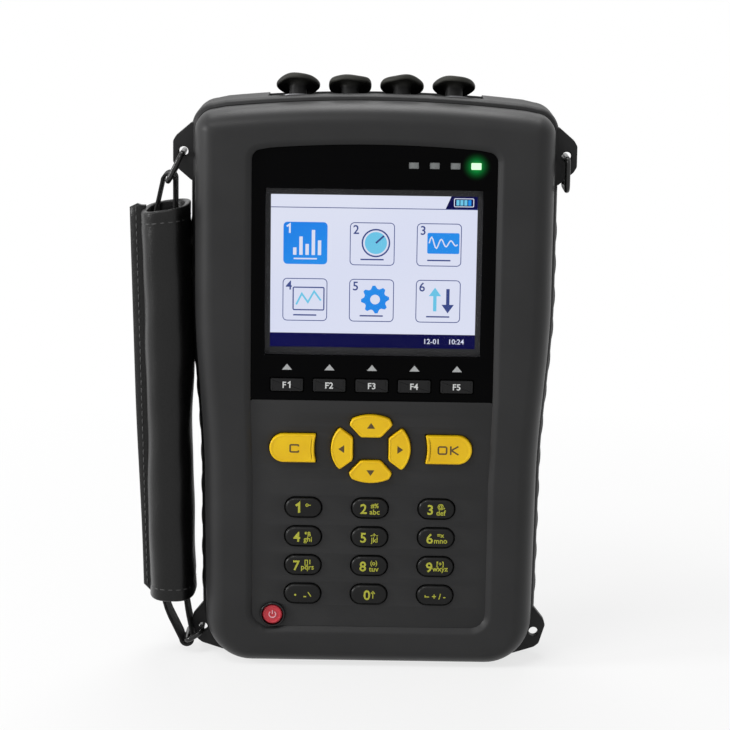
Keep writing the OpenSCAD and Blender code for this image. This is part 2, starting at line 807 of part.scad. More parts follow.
module rear_shell() {
  color([0.13, 0.13, 0.13]) difference() {
    union() {
      rear_skin();
      lugs();
      at_deck() translate([-trough_half, -bite, -deck_t])
        cube([2 * trough_half, trough_run + 2 * bite, deck_t]);
      for (p = screw_places) pin(p[0], p[1], joint_y, back_y - back_wall + bite, boss_d);
      plate(bay_y0, back_y - bite) translate([0, bay_mid_z])
        square([bay_w + 2 * bay_wall, bay_h + 2 * bay_wall], center = true);
      for (s = [-1, 1]) pin(0, bay_mid_z + s * door_screw_z, ear_y, back_y - bite, ear_w);
      for (p = main_posts) pin(p[0], p[1], board_y + board_t, back_y - back_wall + bite, post_d + bite);
    }
    at_deck() translate([-trough_half, 0, 0]) cube([2 * trough_half, trough_run, case_h]);
    for (i = [0 : 3]) at_socket(i) {
      rod(-socket_len, overrun, socket_d);
      rod(-socket_len, -deck_t, flange_d + 2 * key_gap);
    }
    plate(bay_y0 + bay_wall, back_y + overrun)
      translate([0, bay_mid_z]) square([bay_w, bay_h], center = true);
    plate(back_y - door_t, back_y + overrun) translate([0, bay_mid_z]) door_shape(door_fit);
    for (s = [-1, 1]) pin(0, bay_mid_z + s * door_screw_z, ear_y + overrun, back_y, door_screw_d);
    for (s = [-1, 1]) grip_pocket(s);
    lug_bores();
    for (p = screw_places) {
      pin(p[0], p[1], joint_y - overrun, back_y, screw_d + 2 * pilot_gap);
      pin(p[0], p[1], screw_seat_y, back_y + overrun, screw_head_d + 2 * key_gap);
    }
  }
}

module case_screws() {
  color([0.6, 0.6, 0.62]) for (p = screw_places) difference() {
    union() {
      pin(p[0], p[1], screw_tip_y, screw_seat_y, screw_d);
      pin(p[0], p[1], screw_seat_y, screw_seat_y + screw_head_t, screw_head_d);
    }
    translate([p[0], screw_seat_y + screw_head_t / 2, p[1]]) rotate([-90, 0, 0])
      cylinder(d = screw_d, h = screw_head_t, $fn = 6);
  }
}

module battery_door() {
  color([0.14, 0.14, 0.14]) difference() {
    plate(back_y - door_t, back_y) translate([0, bay_mid_z]) door_shape(0);
    for (s = [-1, 1]) pin(0, bay_mid_z + s * door_screw_z, back_y - door_t - overrun, back_y + overrun,
      door_screw_d + 2 * pilot_gap);
    for (s = [-1, 1]) pin(0, bay_mid_z + s * door_screw_z, back_y - door_t / 2, back_y + overrun,
      2 * door_screw_d);
  }
}

module battery_door_screws() {
  seat = back_y - door_t / 2;
  color([0.6, 0.6, 0.62]) for (z = [bay_mid_z - door_screw_z, bay_mid_z + door_screw_z]) difference() {
    union() {
      pin(0, z, ear_y + 2 * overrun, seat, door_screw_d - 2 * pilot_gap);
      pin(0, z, seat, back_y - pilot_gap, 2 * door_screw_d - 2 * pilot_gap);
    }
    translate([0, back_y, z]) cube([2 * door_screw_d, door_t / 2, door_screw_d / 5], center = true);
  }
}

module battery_pack() {
  color([0.2, 0.3, 0.55]) plate(bay_y0 + bay_wall, bay_y0 + bay_wall + pack_d) translate([0, bay_mid_z])
    rounded(bay_w - 2 * bite, bay_h - 2 * bite, pack_d / 4);
}

module main_board() {
  color([0.1, 0.35, 0.2]) plate(board_y, board_y + board_t)
    translate([-main_w / 2, board_low]) square([main_w, board_high - board_low]);
}

// Chips on the main board: place as shares of its width and height, then width, height, thickness
plug_w = 30;
plug_h = 5;
plug_t = 3;
plug_z = board_low + plug_h + overrun;
chips = [
  [0, 0.5, 24, 24, 1.4], [-0.3, 0.54, 14, 20, 1.2], [0.28, 0.5, 18, 12, 1.2],
  [0.3, 0.72, 12, 12, 1.2], [-0.28, 0.24, 16, 10, 2.4]
];
function on_board(shares) = [shares[0] * main_w, board_low + shares[1] * (board_high - board_low)];
module board_parts() {
  color([0.16, 0.16, 0.17]) {
    for (c = chips) plate(board_y - c[4], board_y) translate(on_board(c)) square([c[2], c[3]], center = true);
    plate(board_y - plug_t, board_y) translate([0, plug_z]) square([plug_w, plug_h], center = true);
    plate(key_board_y + board_t, key_board_y + board_t + plug_t)
      translate([0, mat_high - plug_h]) square([plug_w, plug_h], center = true);
  }
}

// Flat cable from the plug on the keypad board to the plug on the main board
ribbon_t = 0.4;
ribbon_steps = 8;
ribbon_y0 = key_board_y + board_t + plug_t;
ribbon_y1 = board_y - plug_t;
function ribbon_mid(t) = [
  ribbon_y0 + (ribbon_y1 - ribbon_y0) * t,
  mat_high - plug_h + (plug_z - mat_high + plug_h) * smooth(t)
];
module ribbon_cable() {
  width = 0.9 * plug_w;
  color([0.75, 0.75, 0.7]) translate([-width / 2, 0, 0]) rotate([90, 0, 90]) linear_extrude(width)
    polygon(concat(
      [for (i = [0 : ribbon_steps]) ribbon_mid(i / ribbon_steps) + [0, ribbon_t / 2]],
      [for (i = [ribbon_steps : -1 : 0]) ribbon_mid(i / ribbon_steps) - [0, ribbon_t / 2]]
    ));
}

buzzer_place = on_board([-0.28, 0.78]);
buzzer_d = 14;
buzzer_t = 5;
sound_hole_d = 3;
module buzzer() {
  color([0.1, 0.1, 0.1]) difference() {
    pin(buzzer_place[0], buzzer_place[1], board_y - buzzer_t, board_y, buzzer_d);
    pin(buzzer_place[0], buzzer_place[1], board_y - buzzer_t - overrun, board_y - buzzer_t / 2, sound_hole_d);
  }
}

// Sockets: a barrel with a flange on the deck, a nut under it and an insert with its pins
barrel_up = 1.6;
flange_d = socket_d + 4;
socket_flange_t = 1.2;
socket_len = 22;
nut_t = 2.5;
insert_t = 6;
pin_out = 3;
pin_d = 1;
stem_len = 10;
module rod(low, high, d) {
  translate([0, 0, low]) cylinder(d = d, h = high - low, $fn = fine);
}
barrel_low = barrel_up - socket_len;
module input_sockets() {
  color([0.65, 0.66, 0.68]) for (i = [0 : 3]) at_socket(i) difference() {
    union() {
      rod(barrel_low, barrel_up, socket_d - 2 * pilot_gap);
      rod(0, socket_flange_t, flange_d);
    }
    rod(barrel_low - overrun, barrel_up + overrun, socket_bore_d);
  }
}

module socket_nuts() {
  color([0.6, 0.6, 0.55]) for (i = [0 : 3]) at_socket(i) difference() {
    translate([0, 0, -deck_t - nut_t]) cylinder(d = flange_d, h = nut_t, $fn = 6);
    rod(-deck_t - nut_t - overrun, -deck_t + overrun, socket_d - 2 * pilot_gap);
  }
}

module socket_inserts() {
  color([0.85, 0.83, 0.75]) for (i = [0 : 3]) at_socket(i) {
    rod(barrel_low, barrel_low + insert_t, socket_bore_d);
    for (a = [0, 120, 240]) rotate([0, 0, a]) translate([socket_bore_d / 4, 0, 0])
      rod(barrel_low - pin_out, barrel_low + insert_t + pin_out, pin_d);
  }
}

// Dust cap: a mushroom with a hollow underside, its stem in the bore of the socket
cap_rise = 6.2;
cap_hollow = 1;
module dust_cap(i) {
  color([0.07, 0.07, 0.06]) at_socket(i) rotate_extrude($fn = fine) polygon([
    [0, -stem_len], [cap_stem_d / 2 - 0.1 * cap_stem_d, -stem_len], [cap_stem_d / 2, -stem_len + cap_hollow],
    [cap_stem_d / 2, cap_rise - cap_hollow], [cap_d / 2 - cap_t, cap_rise + cap_hollow / 2],
    [cap_d / 2 - cap_t / 3, cap_rise], [cap_d / 2, cap_rise + cap_t / 3],
    [cap_d / 2, cap_rise + 2 * cap_t / 3], [cap_d / 2 - cap_t / 3, cap_rise + cap_t],
    [0, cap_rise + cap_t + cap_hollow / 2]
  ]);
}

// A ring hangs by one bar in a lug bore: a wire frame with rounded corners
ring_corner = 2.6;
module wire_ring(len) {
  r = min(ring_corner, len / 2 - ring_wire_d / 2);
  up = len / 2 - r;
  side_y = ring_w / 2;
  flat = side_y - r;
  for (s = [-1, 1]) {
    translate([0, -flat, s * len / 2]) rotate([-90, 0, 0]) rod(0, 2 * flat, ring_wire_d);
    if (up > 0) translate([0, s * side_y, 0]) rod(-up, up, ring_wire_d);
    for (t = [-1, 1]) translate([0, s * flat, t * up]) rotate([90, 0, 90])
      rotate([0, 0, s > 0 ? (t > 0 ? 0 : 270) : (t > 0 ? 90 : 180)])
        rotate_extrude(angle = 90, $fn = fine) translate([r, 0]) circle(d = ring_wire_d, $fn = fine);
  }
}

// Rings at rest: the bar lies low in the bore, the ring turns about the bore by an angle from straight down
bar_drop = lug_bore_d / 2 - ring_wire_d / 2 - seat_gap;
left_turn = 26.6;
low_turn = 58;
module hung_ring(x, z, turn, len) {
  color([0.08, 0.08, 0.08]) translate([x, lug_mid_y, z]) rotate([0, turn, 0])
    translate([0, 0, -bar_drop - len / 2]) wire_ring(len);
}
function bar_at(x, z, turn, len) = [x - (bar_drop + len) * sin(turn), z - (bar_drop + len) * cos(turn)];
top_bar = bar_at(-lug_top_x, lug_top_z, left_turn, ring_len);
low_bar = bar_at(-lug_low_x, lug_low_z, low_turn, ring_len_low);

// Webbing: one loop round both ring bars, its legs wider apart inside the sleeve
loop_gap = 0.8;
loop_r = ring_wire_d / 2 + loop_gap;
leg_half = 4;
sleeve_out = 11.2;
sleeve_top_x = -half_w - sleeve_out;
sleeve_low_x = -half_waist - sleeve_out;
function sleeve_x(z) =
  sleeve_low_x + (sleeve_top_x - sleeve_low_x) * (z - sleeve_low) / (sleeve_high - sleeve_low);
leg_in = 8;
leg_zs = [sleeve_low - leg_in / 2, sleeve_low + leg_in, (sleeve_low + sleeve_high) / 2, sleeve_high - leg_in];
function leg_x(z, side, out) = sleeve_x(z) + side * (leg_half + out);
function loop_arc(c, r, from, to) = [for (i = [0 : 8]) let (a = from + (to - from) * i / 8)
  c + [r * cos(a), r * sin(a)]];
function webbing_loop(out) = concat(
  loop_arc(top_bar, loop_r + out, 0, 180),
  [for (i = [3 : -1 : 0]) [leg_x(leg_zs[i], -1, out), leg_zs[i]]],
  loop_arc(low_bar, loop_r + out, 180, 360),
  [for (i = [0 : 3]) [leg_x(leg_zs[i], 1, out), leg_zs[i]]]
);
module strap_webbing() {
  color([0.1, 0.1, 0.1]) difference() {
    plate(lug_mid_y - webbing_w / 2, lug_mid_y + webbing_w / 2) polygon(webbing_loop(webbing_t));
    plate(lug_mid_y - webbing_w, lug_mid_y + webbing_w) polygon(webbing_loop(0));
  }
}

// Padded sleeve round the webbing: an oval tube with a stitched flange along its outer side
oval_share = 0.7;
function oval(w, d) = [for (a = [0 : 15 : 345]) let (c = cos(a), s = sin(a))
  [sign(c) * pow(abs(c), oval_share) * w / 2, sign(s) * pow(abs(s), oval_share) * d / 2]];
function sleeve_ring(z, w, d) = [for (p = oval(w, d)) [sleeve_x(z) + p[0], lug_mid_y + p[1], z]];
module sleeve_skin(w, d, more) {
  skin([for (z = [sleeve_high + more, sleeve_low - more]) sleeve_ring(z, w, d)]);
}
module hand_sleeve() {
  color([0.09, 0.09, 0.09]) difference() {
    union() {
      sleeve_skin(sleeve_w, sleeve_d, 0);
      skin([for (z = [sleeve_high, sleeve_low]) let (x = sleeve_x(z) - sleeve_w / 2) [
        [x - seam_w, lug_mid_y - seam_t / 2, z], [x + sleeve_wall / 2, lug_mid_y - seam_t / 2, z],
        [x + sleeve_wall / 2, lug_mid_y + seam_t / 2, z], [x - seam_w, lug_mid_y + seam_t / 2, z]
      ]]);
    }
    sleeve_skin(sleeve_w - 2 * sleeve_wall, sleeve_d - 2 * sleeve_wall, overrun);
  }
}

front_shell();
rear_shell();
shell_gasket();
grip(-1);  // left_grip
grip(1);  // right_grip
display_lens();
lcd_panel();
lcd_frame();
status_lights();
power_ring();
keypad_mat();
keypad_board();
main_board();
board_parts();
ribbon_cable();
battery_pack();
battery_door();
battery_door_screws();
case_screws();
buzzer();
input_sockets();
socket_inserts();
socket_nuts();
dust_cap(0);  // dust_cap_1
dust_cap(1);  // dust_cap_2
dust_cap(2);  // dust_cap_3
dust_cap(3);  // dust_cap_4
strap_webbing();
hand_sleeve();
hung_ring(-lug_top_x, lug_top_z, left_turn, ring_len);  // top_left_ring
hung_ring(-lug_low_x, lug_low_z, low_turn, ring_len_low);  // bottom_left_ring
hung_ring(lug_top_x, lug_top_z, 0, ring_len);  // top_right_ring
fn_key(0);  // f1_key
fn_key(1);  // f2_key
fn_key(2);  // f3_key
fn_key(3);  // f4_key
fn_key(4);  // f5_key
side_key(-1);  // clear_key
side_key(1);  // enter_key
arrow_key("up");  // up_key
arrow_key("down");  // down_key
arrow_key("left");  // left_key
arrow_key("right");  // right_key
number_key(0);  // key_1
number_key(1);  // key_2
number_key(2);  // key_3
number_key(3);  // key_4
number_key(4);  // key_5
number_key(5);  // key_6
number_key(6);  // key_7
number_key(7);  // key_8
number_key(8);  // key_9
number_key(9);  // key_dot
number_key(10);  // key_0
number_key(11);  // key_sign
power_key();  // power_button
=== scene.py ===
import bpy
import bmesh
import math
from mathutils import Vector, Matrix
from mathutils.geometry import tessellate_polygon


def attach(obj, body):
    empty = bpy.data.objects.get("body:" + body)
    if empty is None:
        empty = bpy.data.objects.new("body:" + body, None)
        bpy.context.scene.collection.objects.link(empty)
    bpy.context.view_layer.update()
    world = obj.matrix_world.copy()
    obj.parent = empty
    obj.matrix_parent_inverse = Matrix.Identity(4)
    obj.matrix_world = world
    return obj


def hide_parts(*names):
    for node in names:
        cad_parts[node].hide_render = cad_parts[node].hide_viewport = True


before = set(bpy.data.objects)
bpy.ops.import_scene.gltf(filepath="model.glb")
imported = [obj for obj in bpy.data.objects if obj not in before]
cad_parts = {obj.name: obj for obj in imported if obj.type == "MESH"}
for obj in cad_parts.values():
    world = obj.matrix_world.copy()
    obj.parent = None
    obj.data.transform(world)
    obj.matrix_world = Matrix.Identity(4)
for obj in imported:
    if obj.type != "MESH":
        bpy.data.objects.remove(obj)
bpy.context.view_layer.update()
mm = 0.001
view = bpy.context.scene
print("frame loaded,", len(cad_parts), "nodes")

# camera: the picture's angle, a long lens from slightly above
shot = {"target": (0, -24, 124.2), "distance": 1000, "rise": 11, "roll": 0.85,
        "lens": 123.83, "across": 7, "frameSize": 730}


def placeCamera(shot):
    camera = bpy.data.objects.new("camera", bpy.data.cameras.new("camera"))
    view.collection.objects.link(camera)
    rise = math.radians(shot["rise"])
    aim = Vector(shot["target"]) * mm
    away = Vector((0, -math.cos(rise), math.sin(rise)))
    camera.location = aim + away * shot["distance"] * mm
    camera.rotation_mode = "QUATERNION"
    turn = away.to_track_quat("Z", "Y")
    camera.rotation_quaternion = turn @ Matrix.Rotation(math.radians(shot["roll"]), 3, "Z").to_quaternion()
    camera.data.lens = shot["lens"]
    camera.data.sensor_width = 36
    camera.data.clip_start = 0.05
    camera.data.shift_x = -shot["across"] / shot["frameSize"]
    view.camera = camera


placeCamera(shot)

# sizes of the case in millimetres, the same as the CAD part's
case = {"halfWidth": 73.2, "halfWaist": 69.0, "taper": 0.8, "waistLow": 76, "waistHigh": 150,
        "height": 230.2, "archDrop": 3.2, "archHalf": 60.02, "topCorner": 10, "baseCorner": 21,
        "front": -29.0, "back": 29.0, "joint": -8.0, "seal": 0.5, "setIn": 2.2, "hiddenBase": 1.8,
        "rollWide": 8.3, "rollDeep": 12.0, "frontWall": 2.6, "rearWall": 5.0, "backWall": 3.0,
        "backRoll": 12.0, "lip": 4.0}
panel = {"half": 48.2, "waist": 2.2, "low": 16.8, "lensHigh": 212.4, "lensArch": 2.4, "lensLow": 110.2,
         "corner": 6, "lensCorner": 4, "deep": 1.8, "bevel": 2.0, "lensThick": 1.5, "lensSeat": 1.65,
         "wallBehind": 1.6}
floorY = case["front"] + panel["deep"]
lensSeatY = floorY + panel["lensSeat"]
lensY = lensSeatY - panel["lensThick"]
innerY = lensSeatY + panel["wallBehind"]
strapY = -5.0


def ease(t):
    t = min(1, max(0, t))
    return t * t * (3 - 2 * t)


def halfAt(z):
    waist = ease((case["waistHigh"] - z) / (case["waistHigh"] - case["waistLow"]))
    low = min(1, max(0, (case["waistLow"] - z) / case["waistLow"]))
    return case["halfWidth"] - (case["halfWidth"] - case["halfWaist"]) * waist - case["taper"] * low


def topAt(x):
    return case["height"] - case["archDrop"] * (x / case["archHalf"]) ** 2


def wholeLoop(right):
    return right + [(-x, z) for x, z in reversed(right[1:-1])]


def arcPoints(x, z, r, start, end, steps, rz=None):
    turns = [math.radians(start + (end - start) * i / steps) for i in range(steps + 1)]
    return [(x + r * math.cos(a), z + (rz or r) * math.sin(a)) for a in turns]


def atDepth(loop, y):
    return [(x, y, z) for x, z in loop]


def caseLoop(sideIn, baseIn):
    rb = max(3, case["baseCorner"] - sideIn)
    rt = max(3, case["topCorner"] - sideIn)
    xb, zb = halfAt(case["baseCorner"]) - sideIn - rb, baseIn + rb
    xt = case["halfWidth"] - sideIn - rt
    zt = topAt(xt + rt / 2) - sideIn - rt
    right = [(xb * i / 6, baseIn) for i in range(6)]
    right += arcPoints(xb, zb, rb, -90, 0, 14)
    right += [(halfAt(z) - sideIn, z) for z in (zb + (zt - zb) * i / 40 for i in range(1, 40))]
    right += arcPoints(xt, zt, rt, 0, 84, 14)
    xe = xt + rt * math.sin(math.radians(6))
    right += [(x, topAt(x) - sideIn) for x in (xe * (1 - i / 14) for i in range(1, 15))]
    return wholeLoop(right)


power = {"x": -38.8, "z": 21.7, "ring": 10.2, "button": 8.0, "ringHigh": 1.5, "room": 1.1, "roomSlope": 0.8}


def lensTopAt(x):
    return panel["lensHigh"] - panel["lensArch"] * (x / panel["half"]) ** 2


def panelLoop(grow):
    half, low, r = panel["half"], panel["half"] - panel["waist"] / 2, panel["corner"] + grow
    cx, cz = low - panel["corner"], panel["low"] + panel["corner"]
    tx, tz = half - panel["lensCorner"], lensTopAt(half) - panel["lensCorner"]
    right = [(cx * i / 6, cz - r) for i in range(6)] + arcPoints(cx, cz, r, -90, 0, 14)
    for i in range(1, 40):
        z = cz + (tz - cz) * i / 40
        slope = min(1, max(0, (z - case["waistLow"]) / (panel["lensLow"] - case["waistLow"])))
        right.append((low + (half - low) * slope + grow, z))
    right += arcPoints(tx, tz, panel["lensCorner"] + grow, 0, 84, 14)
    right += [(x, lensTopAt(x) + grow) for x in (tx * (1 - i / 14) for i in range(1, 15))]
    loop = wholeLoop(right)
    reach = power["ring"] / 2 + power["room"] + power["roomSlope"] * grow
    for i, (x, z) in enumerate(loop):  # the panel bulges around the power ring
        dx, dz = x - power["x"], z - power["z"]
        d = math.hypot(dx, dz)
        if x < 0 and z < power["z"] + power["ring"] and d < reach:
            loop[i] = (power["x"] + dx * reach / d, power["z"] + dz * reach / d)
    return loop


def circleLoop(x, z, r, count=48):
    turns = [2 * math.pi * i / count for i in range(count)]
    return [(x + r * math.cos(a), z + r * math.sin(a)) for a in turns]


def pillLoop(x, z, w, h, count=16):
    r, run = h / 2, (w - h) / 2
    return arcPoints(x + run, z, r, -90, 90, count) + arcPoints(x - run, z, r, 90, 270, count)


def boxLoop(x, z, w, h, r, count=5):
    loop = []
    for turn, sx, sz in ((-90, 1, -1), (0, 1, 1), (90, -1, 1), (180, -1, -1)):
        cx, cz = x + sx * (w / 2 - r), z + sz * (h / 2 - r)
        loop += arcPoints(cx, cz, r, turn, turn + 90, count)
    return loop


def offsetLoop(loop, out):
    n, moved = len(loop), []
    for i in range(n):
        (ax, az), (x, z), (bx, bz) = loop[i - 1], loop[i], loop[(i + 1) % n]
        near, far = math.hypot(x - ax, z - az) or 1, math.hypot(bx - x, bz - z) or 1
        na, nb = ((z - az) / near, (ax - x) / near), ((bz - z) / far, (x - bx) / far)
        mx, mz = na[0] + nb[0], na[1] + nb[1]
        size = math.hypot(mx, mz) or 1
        mx, mz = mx / size, mz / size
        k = out / max(0.5, mx * na[0] + mz * na[1])
        moved.append((x + mx * k, z + mz * k))
    return moved


def evenLoop(loop, count):
    n = len(loop)
    runs = [math.hypot(loop[(i + 1) % n][0] - loop[i][0], loop[(i + 1) % n][1] - loop[i][1]) for i in range(n)]
    whole, out, i, left = sum(runs), [], 0, 0.0
    for k in range(count):
        want = whole * k / count
        while left + runs[i] < want and i < n - 1:
            left += runs[i]
            i += 1
        t = (want - left) / (runs[i] or 1)
        (ax, az), (bx, bz) = loop[i], loop[(i + 1) % n]
        out.append((ax + (bx - ax) * t, az + (bz - az) * t))
    return out


class Form:

    def __init__(self):
        self.points, self.faces, self.across = [], [], []

    def add(self, points, faces, across=None):
        start = len(self.points)
        self.points += [tuple(p) for p in points]
        self.across += list(across) if across else [(0, 0)] * len(points)
        self.faces += [tuple(start + i for i in f) for f in faces]
        return start

    def loft(self, rings, capFirst=False, capLast=False, joinEnds=False, across=None):
        n, m = len(rings[0]), len(rings)
        start = self.add([p for ring in rings for p in ring], [], across)
        for j in range(m if joinEnds else m - 1):
            a, b = start + j * n, start + ((j + 1) % m) * n
            self.faces += [(a + i, b + i, b + (i + 1) % n, a + (i + 1) % n) for i in range(n)]
        if capFirst:
            self.faces.append(tuple(range(start, start + n)))
        if capLast:
            self.faces.append(tuple(start + (m - 1) * n + i for i in reversed(range(n))))

    def plate(self, outer, holes, front, back, edge=0.2, backEdge=0.0):
        loops = [outer] + [list(reversed(h)) for h in holes]
        for loop in loops:
            near, far = ((0, front),), ((0, back),)
            if edge:
                near = ((edge, front), (edge * 0.3, front + edge * 0.3), (0, front + edge))
            if backEdge:
                far = ((0, back - backEdge), (backEdge, back))
            self.loft([atDepth(offsetLoop(loop, -inset), y) for inset, y in near + far])
        for y, inset in ((front, edge), (back, backEdge)):
            moved = [offsetLoop(loop, -inset) for loop in loops]
            flat = [p for loop in moved for p in loop]
            triangles = tessellate_polygon([[Vector((x, z, 0)) for x, z in loop] for loop in moved])
            self.add(atDepth(flat, y), triangles)

    def cap(self, loop, rings, crown=0.0, inner=((0.96, 0.0),)):
        laid = [atDepth(offsetLoop(loop, -inset), y) for inset, y in rings]
        mid = (sum(p[0] for p in loop) / len(loop), sum(p[1] for p in loop) / len(loop))
        last, top = laid[-1], rings[-1][1]
        steps = [(share, crown * (share ** 2 - 1)) for share in (0.75, 0.5, 0.25)] if crown else inner
        for share, deep in steps:
            laid.append([(mid[0] + (x - mid[0]) * share, top + deep, mid[1] + (z - mid[1]) * share)
                         for x, _, z in last])
        self.loft(laid[::-1], capFirst=True, capLast=True)

    def tube(self, x, z, profile, count):
        self.loft([atDepth(circleLoop(x, z, r, count), y) for r, y in profile], joinEnds=True)

    def turned(self, profile, place, count):
        rings = [[place(r * math.cos(2 * math.pi * i / count), r * math.sin(2 * math.pi * i / count), h)
                  for i in range(count)] for r, h in profile]
        self.loft(rings, capFirst=True, capLast=True)

    def stroke(self, path, width, front, back, closed=False):
        n, sides = len(path), []
        for i in range(n):
            a = path[i - 1] if (i or closed) else path[i]
            b = path[(i + 1) % n] if (i < n - 1 or closed) else path[i]
            x, z = path[i]
            u = Vector((x - a[0], z - a[1])).normalized() if (x, z) != tuple(a) else None
            v = Vector((b[0] - x, b[1] - z)).normalized() if (x, z) != tuple(b) else None
            u, v = u or v, v or u
            across = Vector((-(u.y + v.y), u.x + v.x))
            across = across.normalized() if across.length > 1e-6 else Vector((-u.y, u.x))
            k = width / 2 / max(0.4, across.dot(Vector((-u.y, u.x))))
            sides.append(((x + across.x * k, z + across.y * k), (x - across.x * k, z - across.y * k)))
        rings = [[(p[0], front, p[1]), (q[0], front, q[1]), (q[0], back, q[1]), (p[0], back, p[1])]
                 for p, q in sides]
        self.loft(rings, capFirst=not closed, capLast=not closed, joinEnds=closed)


finishes = {}  # every material of the part, by its name


def smoothShade(piece, angle=32):
    mesh = piece.data
    mesh.polygons.foreach_set("use_smooth", [True] * len(mesh.polygons))
    mesh.set_sharp_from_angle(angle=math.radians(angle))


def dress(piece, finish, body, replaced=()):
    piece.data.materials.clear()
    piece.data.materials.append(finishes[finish])
    if replaced:
        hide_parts(*([replaced] if isinstance(replaced, str) else replaced))
    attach(piece, body)
    return piece


def makePiece(name, form, weld=0.001):
    mesh = bpy.data.meshes.new(name)
    mesh.from_pydata([(x * mm, y * mm, z * mm) for x, y, z in form.points], [], form.faces)
    if any(a != (0, 0) for a in form.across):
        layer = mesh.uv_layers.new(name="along")
        for loop in mesh.loops:
            layer.data[loop.index].uv = form.across[loop.vertex_index]
    work = bmesh.new()
    work.from_mesh(mesh)
    bmesh.ops.remove_doubles(work, verts=work.verts, dist=weld * mm)
    bmesh.ops.dissolve_degenerate(work, edges=work.edges, dist=weld * mm / 4)
    bmesh.ops.recalc_face_normals(work, faces=work.faces)
    work.to_mesh(mesh)
    work.free()
    piece = bpy.data.objects.new(name, mesh)
    view.collection.objects.link(piece)
    return piece


def addPiece(name, form, finish, body="case", replaced=(), angle=32, weld=0.001):
    piece = makePiece(name, form, weld)
    smoothShade(piece, angle)
    return dress(piece, finish, body, replaced)


def applyModifiers(piece):
    view.view_layers[0].update()
    solid = bpy.data.meshes.new_from_object(piece.evaluated_get(bpy.context.evaluated_depsgraph_get()))
    piece.modifiers.clear()
    old = piece.data
    piece.data = solid
    bpy.data.meshes.remove(old)
    solid.name = piece.name


def evenNormals(piece):
    even = piece.modifiers.new("even", "WEIGHTED_NORMAL")
    even.keep_sharp = True
    applyModifiers(piece)


def carve(piece, cutter, way="DIFFERENCE"):
    cut = piece.modifiers.new("cut", "BOOLEAN")
    cut.operation, cut.solver, cut.object = way, "EXACT", cutter
    applyModifiers(piece)
    bpy.data.objects.remove(cutter)


def roundEdges(piece, width, angle=40, steps=2):
    soft = piece.modifiers.new("edge", "BEVEL")
    soft.width, soft.segments, soft.limit_method = width * mm, steps, "ANGLE"
    soft.angle_limit = math.radians(angle)
    soft.use_clamp_overlap = True
    applyModifiers(piece)


# lets the maths between shader sockets read like plain sums
class Wire:

    def __init__(self, board, socket):
        self.board, self.socket = board, socket

    def __add__(self, other):
        return self.board.maths("ADD", self, other)

    def __sub__(self, other):
        return self.board.maths("SUBTRACT", self, other)

    def __rsub__(self, other):
        return self.board.maths("SUBTRACT", other, self)

    def __mul__(self, other):
        return self.board.maths("MULTIPLY", self, other)

    def __pow__(self, other):
        return self.board.maths("POWER", self, other)

    __radd__, __rmul__ = __add__, __mul__


class Finish:

    def __init__(self, name, colour, rough, **sockets):
        self.material = bpy.data.materials.new(name)
        self.material.use_nodes = True
        self.tree = self.material.node_tree
        self.tree.nodes.clear()
        self.skin = self.tree.nodes.new("ShaderNodeBsdfPrincipled")
        out = self.tree.nodes.new("ShaderNodeOutputMaterial")
        self.tree.links.new(self.skin.outputs[0], out.inputs[0])
        self.feed("Base Color", (*colour, 1))
        self.feed("Roughness", rough)
        for socket, value in sockets.items():
            self.feed(socket.replace("_", " "), value)
        self.place = self.node("ShaderNodeTexCoord", out="Object")

    def node(self, kind, settings=None, out=0, **inputs):
        made = self.tree.nodes.new(kind)
        for key, value in (settings or {}).items():
            setattr(made, key, value)
        for key, value in inputs.items():
            socket = made.inputs[int(key[2:])] if key.startswith("at") else made.inputs[key.replace("_", " ")]
            if isinstance(value, Wire):
                self.tree.links.new(value.socket, socket)
            else:
                socket.default_value = value
        return Wire(self, made.outputs[out])

    def maths(self, operation, a, b=0.0):
        return self.node("ShaderNodeMath", {"operation": operation}, at0=a, at1=b)

    def feed(self, socket, value):
        if isinstance(value, Wire):
            self.tree.links.new(value.socket, self.skin.inputs[socket])
        else:
            self.skin.inputs[socket].default_value = value

    def noise(self, scale, detail=3.0, rough=0.5, vector=None):
        return self.node("ShaderNodeTexNoise", Vector=vector or self.place, Scale=scale, Detail=detail,
                         Roughness=rough)

    def stretch(self, x, y, z):
        return self.node("ShaderNodeMapping", Vector=self.place, Scale=(x, y, z))

    def split(self, axis, vector=None):
        return self.node("ShaderNodeSeparateXYZ", out=axis, Vector=vector or self.place)

    def blend(self, share, a, b):
        first, second = (c if isinstance(c, Wire) else (*c, 1) for c in (a, b))
        return self.node("ShaderNodeMix", {"data_type": "RGBA"}, out=2, at0=share, at6=first, at7=second)

    def spread(self, value, low, high, to0=0.0, to1=1.0):
        return self.node("ShaderNodeMapRange", at0=value, at1=low, at2=high, at3=to0, at4=to1)

    def relief(self, height, strength, deep):
        self.feed("Normal", self.node("ShaderNodeBump", Height=height, Strength=strength, Distance=deep * mm))


def mouldedPlastic(name, colour, rough, worn, grain=2600, grit=0.35, **sockets):
    made = Finish(name, colour, rough, **sockets)
    cloud = made.noise(38, 4)
    grains = made.noise(grain, 2)
    made.feed("Base Color", made.blend(made.spread(cloud, 0.35, 0.7), colour, worn))
    made.feed("Roughness", made.spread(cloud + grains * 0.5, 0.5, 1.1, rough - 0.05, rough + 0.07))
    made.relief(grains + cloud * 0.2, grit, 0.05)
    finishes[name] = made.material


